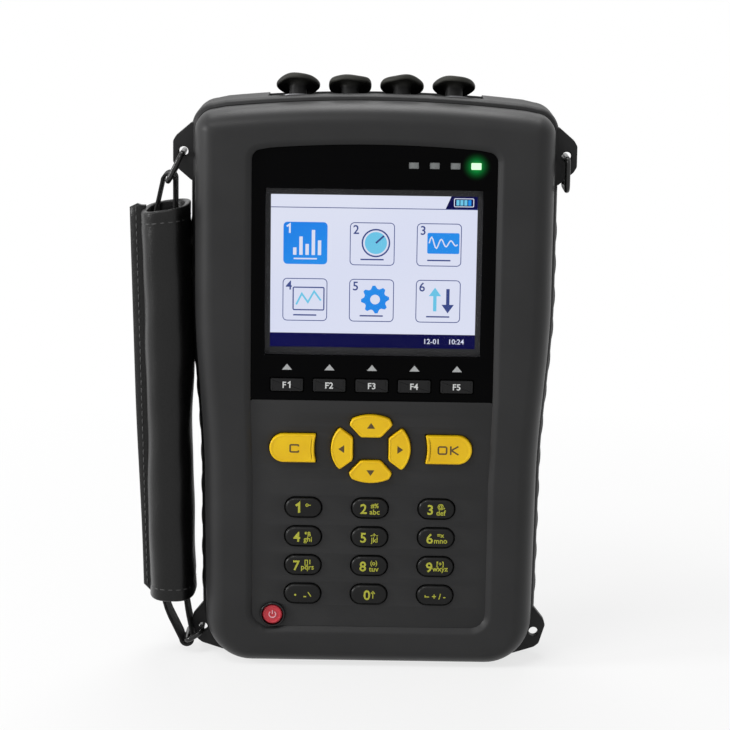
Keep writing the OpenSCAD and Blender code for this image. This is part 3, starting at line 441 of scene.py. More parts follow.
def softRubber(name, colour, dusty, rough, paintedShadeBelow=None, **sockets):
    made = Finish(name, colour, rough, **sockets)
    cloud = made.noise(60, 5, 0.6)
    grains = made.noise(1500, 3)
    paint = made.blend(made.spread(cloud, 0.42, 0.72), colour, dusty)
    # painted shade: below a given height the colour turns near-black, under the cap's rim where shade falls
    if paintedShadeBelow:
        paint = made.blend(made.spread(made.split(2), paintedShadeBelow["from"], paintedShadeBelow["to"]), paintedShadeBelow["colour"], paint)
    made.feed("Base Color", paint)
    made.feed("Roughness", made.spread(cloud, 0.3, 0.7, rough - 0.06, rough + 0.08))
    made.relief(grains + cloud * 0.6, 0.3, 0.06)
    finishes[name] = made.material


def glossPlastic(name, colour, deeper, rough, **sockets):
    made = Finish(name, colour, rough, **sockets)
    cloud = made.noise(90, 3)
    made.feed("Base Color", made.blend(made.spread(cloud, 0.3, 0.75), colour, deeper))
    made.feed("Roughness", made.spread(made.noise(420, 3), 0.3, 0.7, rough * 0.8, rough * 1.25))
    made.relief(made.noise(700, 2), 0.05, 0.03)
    finishes[name] = made.material


def printedInk(name, colour, thin):
    made = Finish(name, colour, 0.55)
    made.feed("Base Color", made.blend(made.spread(made.noise(2200, 2), 0.35, 0.75), colour, thin))
    made.relief(made.noise(3000, 2), 0.1, 0.02)
    finishes[name] = made.material


def litScreen(name, colour, edge, power=1.0):
    made = Finish(name, (0.002, 0.002, 0.0025), 0.35, Emission_Strength=power, Specular_IOR_Level=0.02)
    shade = made.spread(made.noise(14, 1), 0.3, 0.7)
    made.feed("Emission Color", made.blend(shade, colour, edge))
    finishes[name] = made.material


def metal(name, colour, rough, dull):
    made = Finish(name, colour, rough, Metallic=1.0)
    brushed = made.noise(600, 4, 0.6, made.stretch(1, 1, 14))
    made.feed("Base Color", made.blend(made.spread(brushed, 0.3, 0.75), colour, dull))
    made.feed("Roughness", made.spread(brushed, 0.3, 0.7, rough * 0.8, rough * 1.3))
    made.relief(brushed, 0.08, 0.02)
    finishes[name] = made.material


def leatherette(name, colour, paintedCreaseShade, rough):
    made = Finish(name, colour, rough, Coat_Weight=0.06, Specular_IOR_Level=0.26)
    made.feed("Coat Roughness", 0.22)
    cells = made.node("ShaderNodeTexVoronoi", {"feature": "DISTANCE_TO_EDGE"}, Vector=made.place, Scale=950.0)
    folds = made.noise(30, 5, 0.6, made.stretch(1.6, 1.6, 0.5))
    grain = made.spread(cells, 0.0, 0.16)
    # painted shade: the grain lines and fold valleys, the low parts of the bump, take the darker colour
    made.feed("Base Color", made.blend(grain * made.spread(folds, 0.3, 0.6, 0.6, 1.0), paintedCreaseShade, colour))
    made.feed("Roughness", made.spread(folds + grain * 0.2, 0.4, 0.9, rough + 0.08, rough - 0.06))
    made.relief(grain * 0.5 + folds * 1.6, 0.4, 0.16)
    finishes[name] = made.material


def wovenBand(name, colour, deeper):
    made = Finish(name, colour, 0.72, Specular_IOR_Level=0.3)
    along = made.node("ShaderNodeUVMap", {"uv_map": "along"})
    u, v = made.split(0, along), made.split(1, along)
    slant = made.maths("SINE", (u + v) * 5.2) * made.maths("SINE", (u - v) * 5.2)
    ribs = made.maths("SINE", v * 9.0)
    height = slant * 0.6 + ribs * 0.3
    # painted shade: the low parts of the weave, by the same height as the bump, take the darker colour
    made.feed("Base Color", made.blend(made.spread(height, -0.7, 0.7), deeper, colour))
    made.relief(height + made.noise(2400, 2) * 0.5, 0.7, 0.16)
    finishes[name] = made.material


def lensFinish(name, lamp):
    made = Finish(name, (0.0012, 0.0012, 0.0014), 0.09, Emission_Strength=1.0, Specular_IOR_Level=0.025)
    smear = made.noise(22, 3)
    made.feed("Roughness", made.spread(smear, 0.35, 0.75, 0.06, 0.14))
    # painted light: a green glow is painted into the lens around the lit lamp window, fading with distance
    away = made.node("ShaderNodeVectorMath", {"operation": "DISTANCE"}, out="Value", at0=made.place, at1=lamp)
    paintedGlow = made.spread(away, 0.0017, 0.0062, 1.0, 0.0)
    made.feed("Emission Color", made.blend(paintedGlow ** 2.6 * 0.55, (0, 0, 0), (0.005, 0.42, 0.07)))
    made.relief(made.noise(60, 2), 0.02, 0.02)
    finishes[name] = made.material


lights = {"x": [15.25, 23.4, 31.55, 39.7], "z": 204.4, "w": 4.0, "h": 2.7, "sink": 0.25}

mouldedPlastic("caseCharcoal", (0.021, 0.021, 0.0215), 0.44, (0.026, 0.026, 0.0265), grain=3200, grit=0.5,
               Specular_IOR_Level=0.22)
mouldedPlastic("shellBlack", (0.013, 0.013, 0.0135), 0.5, (0.018, 0.018, 0.0185), Specular_IOR_Level=0.22)
mouldedPlastic("boardGreen", (0.02, 0.1, 0.035), 0.4, (0.03, 0.13, 0.05), grain=500)
mouldedPlastic("chipBlack", (0.02, 0.02, 0.022), 0.45, (0.035, 0.035, 0.037), grain=1200)
mouldedPlastic("cableWhite", (0.5, 0.5, 0.46), 0.5, (0.42, 0.42, 0.38), grain=900)
mouldedPlastic("batteryBlue", (0.05, 0.09, 0.3), 0.35, (0.06, 0.11, 0.36), grain=700)
mouldedPlastic("insertCream", (0.7, 0.66, 0.55), 0.45, (0.6, 0.56, 0.46), grain=900)
mouldedPlastic("bezelGrey", (0.02, 0.02, 0.022), 0.4, (0.03, 0.03, 0.032), grain=1400, Specular_IOR_Level=0.25)
softRubber("gripRubber", (0.009, 0.009, 0.009), (0.014, 0.014, 0.014), 0.58, Specular_IOR_Level=0.2)
softRubber("sealRubber", (0.008, 0.008, 0.008), (0.014, 0.014, 0.014), 0.6)
# capRubber: painted shade darkens the neck under each cap's rim
softRubber("capRubber", (0.03, 0.03, 0.026), (0.06, 0.06, 0.052), 0.55,
           paintedShadeBelow={"from": 0.232, "to": 0.2345, "colour": (0.003, 0.003, 0.003)}, Specular_IOR_Level=0.2)
softRubber("keyDark", (0.0035, 0.0035, 0.0035), (0.006, 0.006, 0.006), 0.34, Specular_IOR_Level=0.22)
softRubber("matGrey", (0.12, 0.12, 0.12), (0.15, 0.15, 0.15), 0.6)
glossPlastic("keyYellow", (0.92, 0.59, 0.004), (0.84, 0.5, 0.003), 0.34, Specular_IOR_Level=0.3)
glossPlastic("fnBlack", (0.006, 0.006, 0.0065), (0.009, 0.009, 0.0095), 0.24, Specular_IOR_Level=0.2)
glossPlastic("powerRed", (0.62, 0.03, 0.05), (0.55, 0.02, 0.035), 0.3)
glossPlastic("ringBlack", (0.005, 0.005, 0.0055), (0.008, 0.008, 0.0085), 0.16, Specular_IOR_Level=0.3)
glossPlastic("wireBlack", (0.008, 0.008, 0.008), (0.013, 0.013, 0.013), 0.24, Specular_IOR_Level=0.35)
glossPlastic("lampOff", (0.2, 0.21, 0.21), (0.16, 0.17, 0.17), 0.4)
printedInk("legendOlive", (0.5, 0.5, 0.04), (0.4, 0.4, 0.03))
printedInk("legendBrown", (0.07, 0.04, 0.008), (0.1, 0.06, 0.012))
printedInk("legendWhite", (0.75, 0.76, 0.75), (0.65, 0.66, 0.65))
printedInk("legendSilver", (0.45, 0.46, 0.46), (0.38, 0.39, 0.39))
printedInk("legendPink", (0.85, 0.45, 0.5), (0.75, 0.35, 0.4))
printedInk("stitchThread", (0.03, 0.03, 0.03), (0.05, 0.05, 0.05))
litScreen("screenLight", (0.84, 0.87, 1.0), (0.76, 0.8, 0.99))
litScreen("screenBlue", (0.006, 0.16, 0.84), (0.03, 0.36, 0.94))
litScreen("screenNavy", (0.002, 0.002, 0.035), (0.004, 0.004, 0.085))
litScreen("screenInk", (0.03, 0.05, 0.2), (0.06, 0.09, 0.3))
litScreen("screenCyan", (0.1, 0.55, 0.85), (0.2, 0.65, 0.9))
litScreen("lampGreen", (0.25, 1.0, 0.3), (0.75, 1.0, 0.75), 1.3)
metal("steelPlain", (0.5, 0.5, 0.51), 0.35, (0.36, 0.36, 0.37))
metal("socketMetal", (0.16, 0.16, 0.165), 0.34, (0.1, 0.1, 0.105))
leatherette("sleeveLeather", (0.0045, 0.0045, 0.0045), (0.002, 0.002, 0.002), 0.36)
wovenBand("webbingBlack", (0.01, 0.01, 0.01), (0.003, 0.003, 0.003))
lensFinish("lensBlack", (lights["x"][3] * mm, lensY * mm, lights["z"] * mm))
clear = Finish("lensClear", (0.02, 0.02, 0.025), 0.06, Alpha=0.06, Specular_IOR_Level=0.1)
clear.relief(clear.noise(40, 2), 0.02, 0.02)
finishes["lensClear"] = clear.material
print("materials made,", len(finishes))

# CAD nodes that keep their shape and only get a finish
keptNodes = {"shell_gasket": "sealRubber", "lcd_panel": "screenLight", "status_lights": "lampOff",
             "keypad_mat": "matGrey", "keypad_board": "boardGreen", "main_board": "boardGreen",
             "board_parts": "chipBlack", "ribbon_cable": "cableWhite", "battery_pack": "batteryBlue",
             "battery_door_screws": "steelPlain", "case_screws": "steelPlain", "buzzer": "chipBlack",
             "input_sockets": "socketMetal", "socket_inserts": "insertCream", "socket_nuts": "steelPlain",
             "top_left_ring": "wireBlack", "bottom_left_ring": "wireBlack", "top_right_ring": "wireBlack"}
for node, finish in keptNodes.items():
    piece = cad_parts[node]
    for held in piece.material_slots:
        held.material = finishes[finish]
print("kept nodes dressed")


def rollRings(sideIn, baseIn, front, wide, deep, steps):
    rings = []
    for i in range(steps + 1):
        a = math.radians(90 * i / steps)
        inset = 1 - math.cos(a)
        loop = caseLoop(sideIn + wide * inset, baseIn + (wide - case["hiddenBase"]) * inset)
        rings.append(atDepth(loop, front + deep * (1 - math.sin(a))))
    return rings


keys = {"gap": 0.3, "flange": 1.0, "flangeLip": 0.8, "stem": 1.6, "stemR": 2, "numW": 14.7, "numH": 8.1,
        "pitchX": 26.7, "pitchZ": 11.93, "topZ": 66.3, "numProud": 1.6, "padX": 15.9, "padZ": 13.8,
        "padMid": 90.9, "yellowProud": 2.2, "sideW": 18.8, "sideH": 11.4, "sideX": 31.0, "fnW": 13.0,
        "fnH": 5.2, "fnPitch": 16.88, "fnZ": 116.4, "fnProud": 0.8}
screen = {"w": 81.4, "h": 61.0, "z": 161.6, "bezelX": 2.0, "bezelZ": 2.7, "frame": 5.8, "frameThick": 0.8,
          "frameDeep": 4.6}


def arrowLoop(way, grow=0.0):
    rx, rz = keys["padX"], keys["padZ"]
    if way in ("up", "down"):
        ix, iz, cx, cz = 0.25 * rx + grow / 2, 0.35 * rz - grow, 0.545 * rx + grow, 0.72 * rz + grow
        arc = arcPoints(0, 0, rx + grow, 62, 118, 16, rz + grow)
        loop = [(ix, iz), (cx, cz)] + arc + [(-cx, cz), (-ix, iz)]
    else:
        ix, iz, cx, cz = 0.45 * rx - grow, 0.33 * rz + grow / 2, 0.775 * rx + grow, 0.61 * rz + grow
        arc = arcPoints(0, 0, rx + grow, -32, 32, 16, rz + grow)
        loop = [(ix, -iz), (cx, -cz)] + arc + [(cx, cz), (ix, iz)]
    if way == "down":
        loop = [(x, -z) for x, z in reversed(loop)]
    if way == "left":
        loop = [(-x, z) for x, z in reversed(loop)]
    return [(x, z + keys["padMid"]) for x, z in roundLoop(loop, 0.9)]


def roundLoop(loop, r, steps=4):
    n, out = len(loop), []
    for i in range(n):
        a, p, b = Vector(loop[i - 1]), Vector(loop[i]), Vector(loop[(i + 1) % n])
        la, lb = (a - p).length, (b - p).length
        if la < 1e-6 or lb < 1e-6:
            continue
        cut = min(r, la * 0.45, lb * 0.45)
        if (a - p).angle(b - p) > math.radians(165) or cut < 0.05:
            out.append(tuple(p))
            continue
        s, e = p + (a - p) / la * cut, p + (b - p) / lb * cut
        for k in range(steps + 1):
            t = k / steps
            out.append(tuple(s * (1 - t) ** 2 + p * 2 * t * (1 - t) + e * t ** 2))
    return out


def sideLoop(side, grow=0.0):
    mid, w, h = keys["sideX"], keys["sideW"] + 2 * grow, keys["sideH"] + 2 * grow
    r = mid - keys["sideW"] / 2 + 1 - grow
    turn = math.asin(h / 2 / r)
    inner = [(r * math.cos(a), r * math.sin(a)) for a in (turn - 2 * turn * i / 12 for i in range(13))]
    loop = roundLoop(inner + arcPoints(mid + w / 2 - h / 2, 0, h / 2, -90, 90, 24), 0.8)
    if side < 0:
        loop = [(-x, z) for x, z in reversed(loop)]
    return [(x, z + keys["padMid"]) for x, z in loop]


def numberAt(i):
    return ((i % 3) - 1) * keys["pitchX"], keys["topZ"] - (i // 3) * keys["pitchZ"]


def fnAt(i):
    return (i - 2) * keys["fnPitch"], keys["fnZ"]


def lensOpenings(windowCorner, pipeCorner):
    w, h = screen["w"] + 2 * screen["bezelX"], screen["h"] + 2 * screen["bezelZ"]
    window, gap = boxLoop(0, screen["z"], w, h, windowCorner), 2 * keys["gap"]
    fnHoles = [boxLoop(*fnAt(i), keys["fnW"] + gap, keys["fnH"] + gap, 0.6) for i in range(5)]
    pipes = [boxLoop(x, lights["z"], lights["w"], lights["h"], pipeCorner) for x in lights["x"]]
    return [window] + fnHoles + pipes


def frontShell():
    form, wall = Form(), case["frontWall"]
    sealY = case["joint"] - case["seal"]
    setIn, base = case["setIn"], case["setIn"] - case["hiddenBase"]
    wide = case["rollWide"]
    corner = 0.35  # small round at the seal
    rings = [atDepth(caseLoop(setIn + wall, base + wall), sealY),
             atDepth(caseLoop(setIn + corner, base + corner), sealY),
             atDepth(caseLoop(setIn, base), sealY - corner)]
    rings += rollRings(setIn, base, case["front"], wide, case["rollDeep"], 12)
    bed = panel["bevel"]
    step = ((bed + 0.9, 0), (bed + 0.35, 0.05), (bed - 0.1, 0.3), (0.3, panel["deep"] - 0.25),
            (0.02, panel["deep"] + 0.05))
    rings += [atDepth(panelLoop(grow), case["front"] + y) for grow, y in step]
    rings += [atDepth(panelLoop(0.0), innerY),
              atDepth(caseLoop(setIn + wide * 0.5 + wall, base + wall + 4), innerY),
              atDepth(caseLoop(setIn + wall + 1, base + wall + 1), innerY + 3)]
    form.loft(rings, joinEnds=True)
    bedLoop = panelLoop(0.15)
    holes = [pillLoop(*numberAt(i), keys["numW"] + 2 * keys["gap"], keys["numH"] + 2 * keys["gap"])
             for i in range(12)]
    holes += [arrowLoop(way, keys["gap"]) for way in ("up", "down", "left", "right")]
    holes += [sideLoop(s, keys["gap"]) for s in (-1, 1)]
    holes.append(circleLoop(power["x"], power["z"], power["button"] / 2 + keys["gap"]))
    low = [(x, min(z, panel["lensLow"] - 0.1)) for x, z in bedLoop]
    form.plate(evenLoop(low, 260), holes, floorY, innerY, edge=0.25)
    high = [(x, max(z, panel["lensLow"] - 0.15)) for x, z in bedLoop]
    form.plate(evenLoop(high, 260), lensOpenings(0.4, 0.2), lensSeatY, innerY, edge=0.0)
    addPiece("frontCase", form, "caseCharcoal", replaced="front_shell", angle=28)


frontShell()
print("front shell made")


def lensPlates():
    form = Form()
    loop = [(x, max(z, panel["lensLow"] + 0.05)) for x, z in panelLoop(-0.12)]
    form.plate(evenLoop(loop, 300), lensOpenings(0.5, 0.25), lensY, lensSeatY, edge=0.15)
    addPiece("lensPlate", form, "lensBlack", replaced="display_lens")
    pane, over = Form(), 0.2
    w, h = screen["w"] + 2 * screen["bezelX"] + over, screen["h"] + 2 * screen["bezelZ"] + over
    pane.plate(boxLoop(0, screen["z"], w, h, 0.5), [], lensY + 0.05, lensSeatY, edge=0)
    addPiece("lensWindow", pane, "lensClear")


def displayFrame():
    form = Form()
    w, h, z = screen["w"] + 2 * screen["frame"], screen["h"] + 2 * screen["frame"], screen["z"]
    wall, step = 2 * screen["frameThick"], innerY + screen["frameThick"]
    outer = boxLoop(0, z, w, h, 1.0)
    form.plate(outer, [boxLoop(0, z, screen["w"], screen["h"], 0.3)], innerY, step, edge=0.15)
    form.plate(outer, [boxLoop(0, z, w - wall, h - wall, 0.6)], step, innerY + screen["frameDeep"], edge=0)
    addPiece("displayFrame", form, "bezelGrey", replaced="lcd_frame")


def lampWindows():
    w, h, z = lights["w"] - 0.1, lights["h"] - 0.1, lights["z"]
    for name, spots, finish, slot in (("lampsOff", lights["x"][:3], "lampOff", "lamp_off"),
                                      ("lampGreen", lights["x"][3:], "lampGreen", "lamp_green")):
        form = Form()
        for x in spots:
            form.plate(boxLoop(x, z, w, h, 0.25), [], lensY + lights["sink"], lensSeatY, edge=0.2)
        addPiece(name, form, finish)


lensPlates()
displayFrame()
lampWindows()
print("lens and display frame made")


def digitOne(form, x, z, size, y, weight):
    path = [(-0.2, 0.17), (0.04, 0.34), (0.04, -0.35)]
    form.stroke([(x + u * size, z + v * size) for u, v in path], weight * size, y - 0.06, y + 0.3)


def glyphs(form, text, size, x, z, y, weight=0.0, thick=0.05, spacing=1.0, lift=None):
    curve = bpy.data.curves.new("letters", "FONT")
    curve.body, curve.size, curve.align_x, curve.align_y = text, size, "CENTER", "CENTER"
    curve.offset, curve.extrude, curve.resolution_u, curve.space_character = weight, thick, 3, spacing
    held = bpy.data.objects.new("letters", curve)
    view.collection.objects.link(held)
    view.view_layers[0].update()
    mesh = bpy.data.meshes.new_from_object(held.evaluated_get(bpy.context.evaluated_depsgraph_get()))
    wide = [v.co.x for v in mesh.vertices]
    tall = [v.co.y for v in mesh.vertices]
    mx, mz = (min(wide) + max(wide)) / 2, (min(tall) + max(tall)) / 2
    points = []
    for v in mesh.vertices:
        px, pz = x + v.co.x - mx, z + v.co.y - mz
        points.append((px, y - v.co.z + (lift(px, pz) if lift else 0), pz))
    form.add(points, [tuple(p.vertices) for p in mesh.polygons])
    bpy.data.objects.remove(held)
    bpy.data.meshes.remove(mesh)
    bpy.data.curves.remove(curve)


flangeY = innerY + 0.2
stemEnd = flangeY + keys["flange"] + keys["stem"]


def keyTail(form, loop, stem):
    flangeEnd = flangeY + keys["flange"]
    form.plate(offsetLoop(loop, keys["flangeLip"]), [], flangeY, flangeEnd, edge=0.1)
    form.plate(circleLoop(*stem, keys["stemR"], 24), [], flangeEnd - 0.1, stemEnd, edge=0)


numberKeys = [("key_%d" % (i + 1), i, str(i + 1)) for i in range(9)]
numberKeys += [("key_dot", 9, "."), ("key_0", 10, "0"), ("key_sign", 11, "+/-")]
smallLegends = ["", "abc", "def", "ghi", "jkl", "mno", "pqrs", "tuv", "wxyz", "", "", ""]
smallMarks = ["o-", "#%", "@,", "*B", "-+-", "=x", "[]1", "(o)", "[+]", "", "", ""]
numberCap = {"edge": 1.5, "crown": 0.28, "digit": 5.6, "small": 3.0, "mark": 2.5, "sign": 3.2,
             "digitX": -2.5, "smallX": 1.9, "smallZ": -1.2, "markZ": 1.25, "weight": 0.1, "thin": 0.05,
             "inkDeep": 0.16, "line": 0.42}


def numberKey(node, i):
    x, z = numberAt(i)
    top = floorY - keys["numProud"]
    loop, form = pillLoop(x, z, keys["numW"], keys["numH"], 14), Form()
    edge, crown = numberCap["edge"], numberCap["crown"]
    rings = [(0, flangeY + 0.5)]
    for k in range(8):
        a = math.radians(90 * k / 7)
        rings.append((edge * (1 - math.cos(a)), top + crown + edge * 0.9 * (1 - math.sin(a))))
    form.cap(loop, rings, crown=crown)
    keyTail(form, loop, (x, z))
    addPiece(node + "_cap", form, "keyDark", body=node + "_body", replaced=node, angle=35)


def numberInk(node, i, digit):
    x, z = numberAt(i)
    top, c = floorY - keys["numProud"], numberCap
    a, b = keys["numW"] / 2 - c["edge"], keys["numH"] / 2 - c["edge"]
    ink, small, crown = Form(), smallLegends[i], c["crown"]

    def lift(px, pz):  # letters follow the crown of the cap
        return crown * min(1, ((px - x) / a) ** 2 * 0.7 + ((pz - z) / b) ** 2 * 0.6)

    def letters(text, size, dx, dz, weight):
        glyphs(ink, text, size, x + dx, z + dz, top, weight=weight, thick=c["inkDeep"], lift=lift)

    def line(path, wide=c["line"], front=0.02, back=0.25):
        ink.stroke([(x + dx, z + dz) for dx, dz in path], wide, top + front, top + back)

    if digit == ".":
        ink.plate(circleLoop(x - 2.9, z - 0.3, 0.42, 16), [], top + 0.02, top + 0.2, edge=0)
        line([(0.4, -1.0), (1.5, -1.0)], 0.5, 0.02, 0.2)
        line([(2.2, 0.9), (3.4, -0.9)], 0.4, 0.03, 0.25)
    elif digit == "+/-":
        letters("+ / -", c["sign"], 1.6, -0.2, 0.07)
        line([(-3.9, 0.3), (-3.9, -0.4), (-2.1, -0.4), (-2.1, 0.3)], c["line"], 0.05, 0.3)
    elif digit == "0":
        letters(digit, c["digit"], -0.7, 0, c["weight"])
        line([(1.7, -1.4), (1.7, 1.4)])
        line([(0.9, 0.6), (1.7, 1.5), (2.5, 0.6)])
    elif digit == "1":
        digitOne(ink, x + c["digitX"] + 0.6, z, c["digit"], top, 0.16)
    else:
        letters(digit, c["digit"], c["digitX"], 0, c["weight"])
    if small:
        letters(small, c["small"], c["smallX"], c["smallZ"], c["thin"])
    if smallMarks[i]:
        letters(smallMarks[i], c["mark"], c["smallX"], c["markZ"], c["thin"])
    addPiece(node + "_legend", ink, "legendOlive", body=node + "_body", angle=50)


yellowCap = {"edge": 0.5, "dish": 0.12, "inkDeep": 0.12, "line": 0.62, "letterW": 3.3, "letterH": 2.9,
             "arrowTip": 1.15, "arrowSide": 1.6, "arrowX": 0.74, "arrowZ": 0.7, "stemShare": 0.7}
arrowWays = {"up": (0, 1), "down": (0, -1), "left": (-1, 0), "right": (1, 0)}


def yellowKey(node, loop, stem):
    top = floorY - keys["yellowProud"]
    form, edge, dish = Form(), yellowCap["edge"], yellowCap["dish"]
    loop = evenLoop(loop, 120)
    turns = [math.radians(90 * k / 5) for k in range(6)]
    rings = [(0, flangeY + 0.5)] + [(edge * (1 - math.cos(a)), top + edge * (1 - math.sin(a))) for a in turns]
    form.cap(loop, rings, inner=((0.97, 0.0), (0.94, dish * 0.7), (0.91, dish), (0.88, dish)))
    keyTail(form, loop, stem)
    addPiece(node + "_cap", form, "keyYellow", body=node + "_body", replaced=node, angle=40)


def yellowLegends():
    c, z = yellowCap, keys["padMid"]
    y = floorY - keys["yellowProud"] + c["dish"] - 0.04
    tip, side, back, line = c["arrowTip"], c["arrowSide"], y + c["inkDeep"], c["line"]
    for way, (sx, sz) in arrowWays.items():
        form = Form()
        cx, cz = sx * keys["padX"] * c["arrowX"], z + sz * keys["padZ"] * c["arrowZ"]
        loop = [(cx - sx * tip - sz * side, cz - sz * tip + sx * side),
                (cx - sx * tip + sz * side, cz - sz * tip - sx * side),
                (cx + sx * tip, cz + sz * tip)]
        form.plate(loop, [], y, back, edge=0)
        addPiece(way + "_key_legend", form, "legendBrown", body=way + "_key_body", angle=50)
    clearLetter, okLetters = Form(), Form()
    x, w, h = -keys["sideX"] + 0.5, c["letterW"] / 2, c["letterH"] / 2
    path = [(x + w, z + h * 0.56), (x + w, z + h), (x - w, z + h), (x - w, z - h), (x + w, z - h),
            (x + w, z - h * 0.56)]
    clearLetter.stroke(roundPath(path, 0.5), line, y, back)
    addPiece("clear_key_legend", clearLetter, "legendBrown", body="clear_key_body", angle=50)
    x = keys["sideX"] - 2.4
    okLetters.stroke(boxLoop(x, z, c["letterW"], c["letterH"], 0.6), line, y, back, closed=True)
    x = keys["sideX"] + 2.3
    okLetters.stroke([(x - 1.4, z - 1.75), (x - 1.4, z + 1.75)], line, y, back)
    okLetters.stroke([(x + 1.6, z + 1.7), (x - 1.2, z + 0.05), (x + 1.7, z - 1.7)], 0.6, y + 0.005, back)
    addPiece("enter_key_legend", okLetters, "legendBrown", body="enter_key_body", angle=50)


def roundPath(path, r, steps=4):
    out = [path[0]]
    for i in range(1, len(path) - 1):
        a, p, b = Vector(path[i - 1]), Vector(path[i]), Vector(path[i + 1])
        cut = min(r, (a - p).length / 2, (b - p).length / 2)
        s, e = p + (a - p).normalized() * cut, p + (b - p).normalized() * cut
        out += [tuple(s * (1 - t) ** 2 + p * 2 * t * (1 - t) + e * t ** 2)
                for t in (k / steps for k in range(steps + 1))]
    return out + [path[-1]]


def fnKey(i):
    node = "f%d_key" % (i + 1)
    x, z = fnAt(i)
    top = lensY - keys["fnProud"]
    loop, letter = boxLoop(x, z, keys["fnW"], keys["fnH"], keys["fnH"] / 8, 4), 3.5
    form = Form()
    form.cap(loop, [(0, flangeY + 0.5), (0, top + 0.45), (0.14, top + 0.2), (0.42, top + 0.04), (0.8, top)])
    keyTail(form, loop, (x, z))
    addPiece(node + "_cap", form, "fnBlack", body=node + "_body", replaced=node, angle=30)
    ink = Form()
    if i:
        glyphs(ink, "F%d" % (i + 1), letter, x, z, top, weight=0.06)
    else:
        glyphs(ink, "F", letter, x - 0.95, z, top, weight=0.06)
        digitOne(ink, x + 1.1, z, letter, top, 0.14)
    addPiece(node + "_legend", ink, "legendWhite", body=node + "_body", angle=50)


def lensMarks():
    form = Form()
    for i in range(5):
        x, z = fnAt(i)
        arrow = [(x - 2.0, z + 6.0), (x + 2.0, z + 6.0), (x, z + 8.4)]
        form.plate(arrow, [], lensY - 0.03, lensY + 0.1, edge=0)
    addPiece("lensArrows", form, "legendSilver", angle=50)


def powerKey():
    x, z, outer, inner = power["x"], power["z"], power["ring"] / 2, power["button"] / 2 + keys["gap"]
    top, mid, ring = floorY - power["ringHigh"], (inner + outer) / 2, Form()
    profile = [(inner, floorY), (inner, top + 0.35), (inner + 0.12, top + 0.1), (inner + 0.4, top)]
    turns = [math.radians(15 * k) for k in range(1, 7)]
    profile += [(mid + (outer - mid) * math.sin(a), top + 0.75 * (1 - math.cos(a))) for a in turns]
    ring.tube(x, z, profile + [(outer, floorY)], 56)
    addPiece("powerRing", ring, "ringBlack", replaced="power_ring", angle=40)
    button, loop, y = Form(), circleLoop(x, z, power["button"] / 2, 56), top + 0.6
    rings = [(0, flangeY + 0.5), (0, y + 0.5), (0.15, y + 0.2), (0.45, y + 0.02), (0.8, y), (0.95, y + 0.12),
             (1.15, y + 0.14)]
    button.cap(loop, rings, crown=-0.12)
    keyTail(button, loop, (x, z))
    addPiece("powerCap", button, "powerRed", body="power_button_body", replaced="power_button",
             angle=40)
    mark, y, line = Form(), y - 0.01, 0.42
    mark.stroke(arcPoints(x, z, 1.35, 50, -230, 24), line, y, y + 0.3)
    mark.stroke([(x, z + 0.1), (x, z + 1.75)], line, y, y + 0.3)
    addPiece("powerMark", mark, "legendPink", body="power_button_body", angle=50)


for node, i, digit in numberKeys:
    numberKey(node, i)
    numberInk(node, i, digit)
for way, (sx, sz) in arrowWays.items():
    share = yellowCap["stemShare"]
    stem = sx * share * keys["padX"], keys["padMid"] + sz * share * keys["padZ"]
    yellowKey(way + "_key", arrowLoop(way), stem)
yellowKey("clear_key", sideLoop(-1), (-keys["sideX"], keys["padMid"]))
yellowKey("enter_key", sideLoop(1), (keys["sideX"], keys["padMid"]))
yellowLegends()
for i in range(5):
    fnKey(i)
lensMarks()
powerKey()
print("keys and legends made")


# plain numbered tiles with simple marks, drawn as thin layers on the display
picture = {"bar": 5.6, "tabWide": 12.6, "tabLow": 5.1, "tabTop": 10.4, "line": 0.3, "clock": 2.9,
           "tile": 17.4, "tileX": 26.4, "tileZ": 22.6, "shift": -0.6, "firstZ": 19.4, "number": 5.0,
           "iconScale": 1.22, "iconX": 0.7, "iconZ": 0.4}
pictureSlots = {"screenLight": "screen_light", "screenBlue": "screen_blue", "screenNavy": "screen_navy",
                "screenInk": "screen_ink", "screenCyan": "screen_cyan"}
pictureY = innerY + 0.8


def drawBars(layers, x, z, y, front):
    for i, tall in enumerate((2.4, 6.0, 3.6, 8.2, 4.8)):
        at = x - 4 + 2 * i
        layers["screenLight"].stroke([(at, z - 4.2), (at, z - 4.2 + tall)], 1.1, front, y)


def drawDial(layers, x, z, y, front):
    x += 0.6
    layers["screenInk"].stroke(circleLoop(x, z, 4.4, 28), 0.5, front, y, closed=True)
    layers["screenCyan"].plate(circleLoop(x, z, 3.6, 28), [], y - 0.04, y, edge=0)
    layers["screenInk"].stroke([(x, z), (x + 2.6, z + 2.4)], 0.6, front, y)


def drawWave(layers, x, z, y, front):
    layers["screenBlue"].plate(boxLoop(x + 0.8, z + 0.2, 10.4, 6.8, 0.5), [], y - 0.04, y, edge=0)
    wave = [(x - 3.8 + 0.4 * j, z + 0.2 + 2.2 * math.sin(j * 0.8) * math.exp(-j * 0.05)) for j in range(24)]
    layers["screenLight"].stroke(wave, 0.4, front, y)


def drawTrend(layers, x, z, y, front):
    layers["screenInk"].stroke(boxLoop(x + 0.6, z, 10, 7.4, 0.4), 0.4, front, y, closed=True)
    trend = [(x - 3.4, z - 2), (x - 1.6, z + 1.6), (x + 0.4, z - 1.2), (x + 2.4, z + 2.4), (x + 4.6, z - 0.6)]
    layers["screenCyan"].stroke(trend, 0.6, front, y)


def drawGear(layers, x, z, y, front):
    x += 0.6
    turns = [(4.6 if j % 4 < 2 else 3.6, 2 * math.pi * j / 32) for j in range(32)]
    teeth = [(x + r * math.cos(a), z + r * math.sin(a)) for r, a in turns]
    layers["screenBlue"].plate(teeth, [circleLoop(x, z, 1.6, 20)], y - 0.04, y, edge=0)


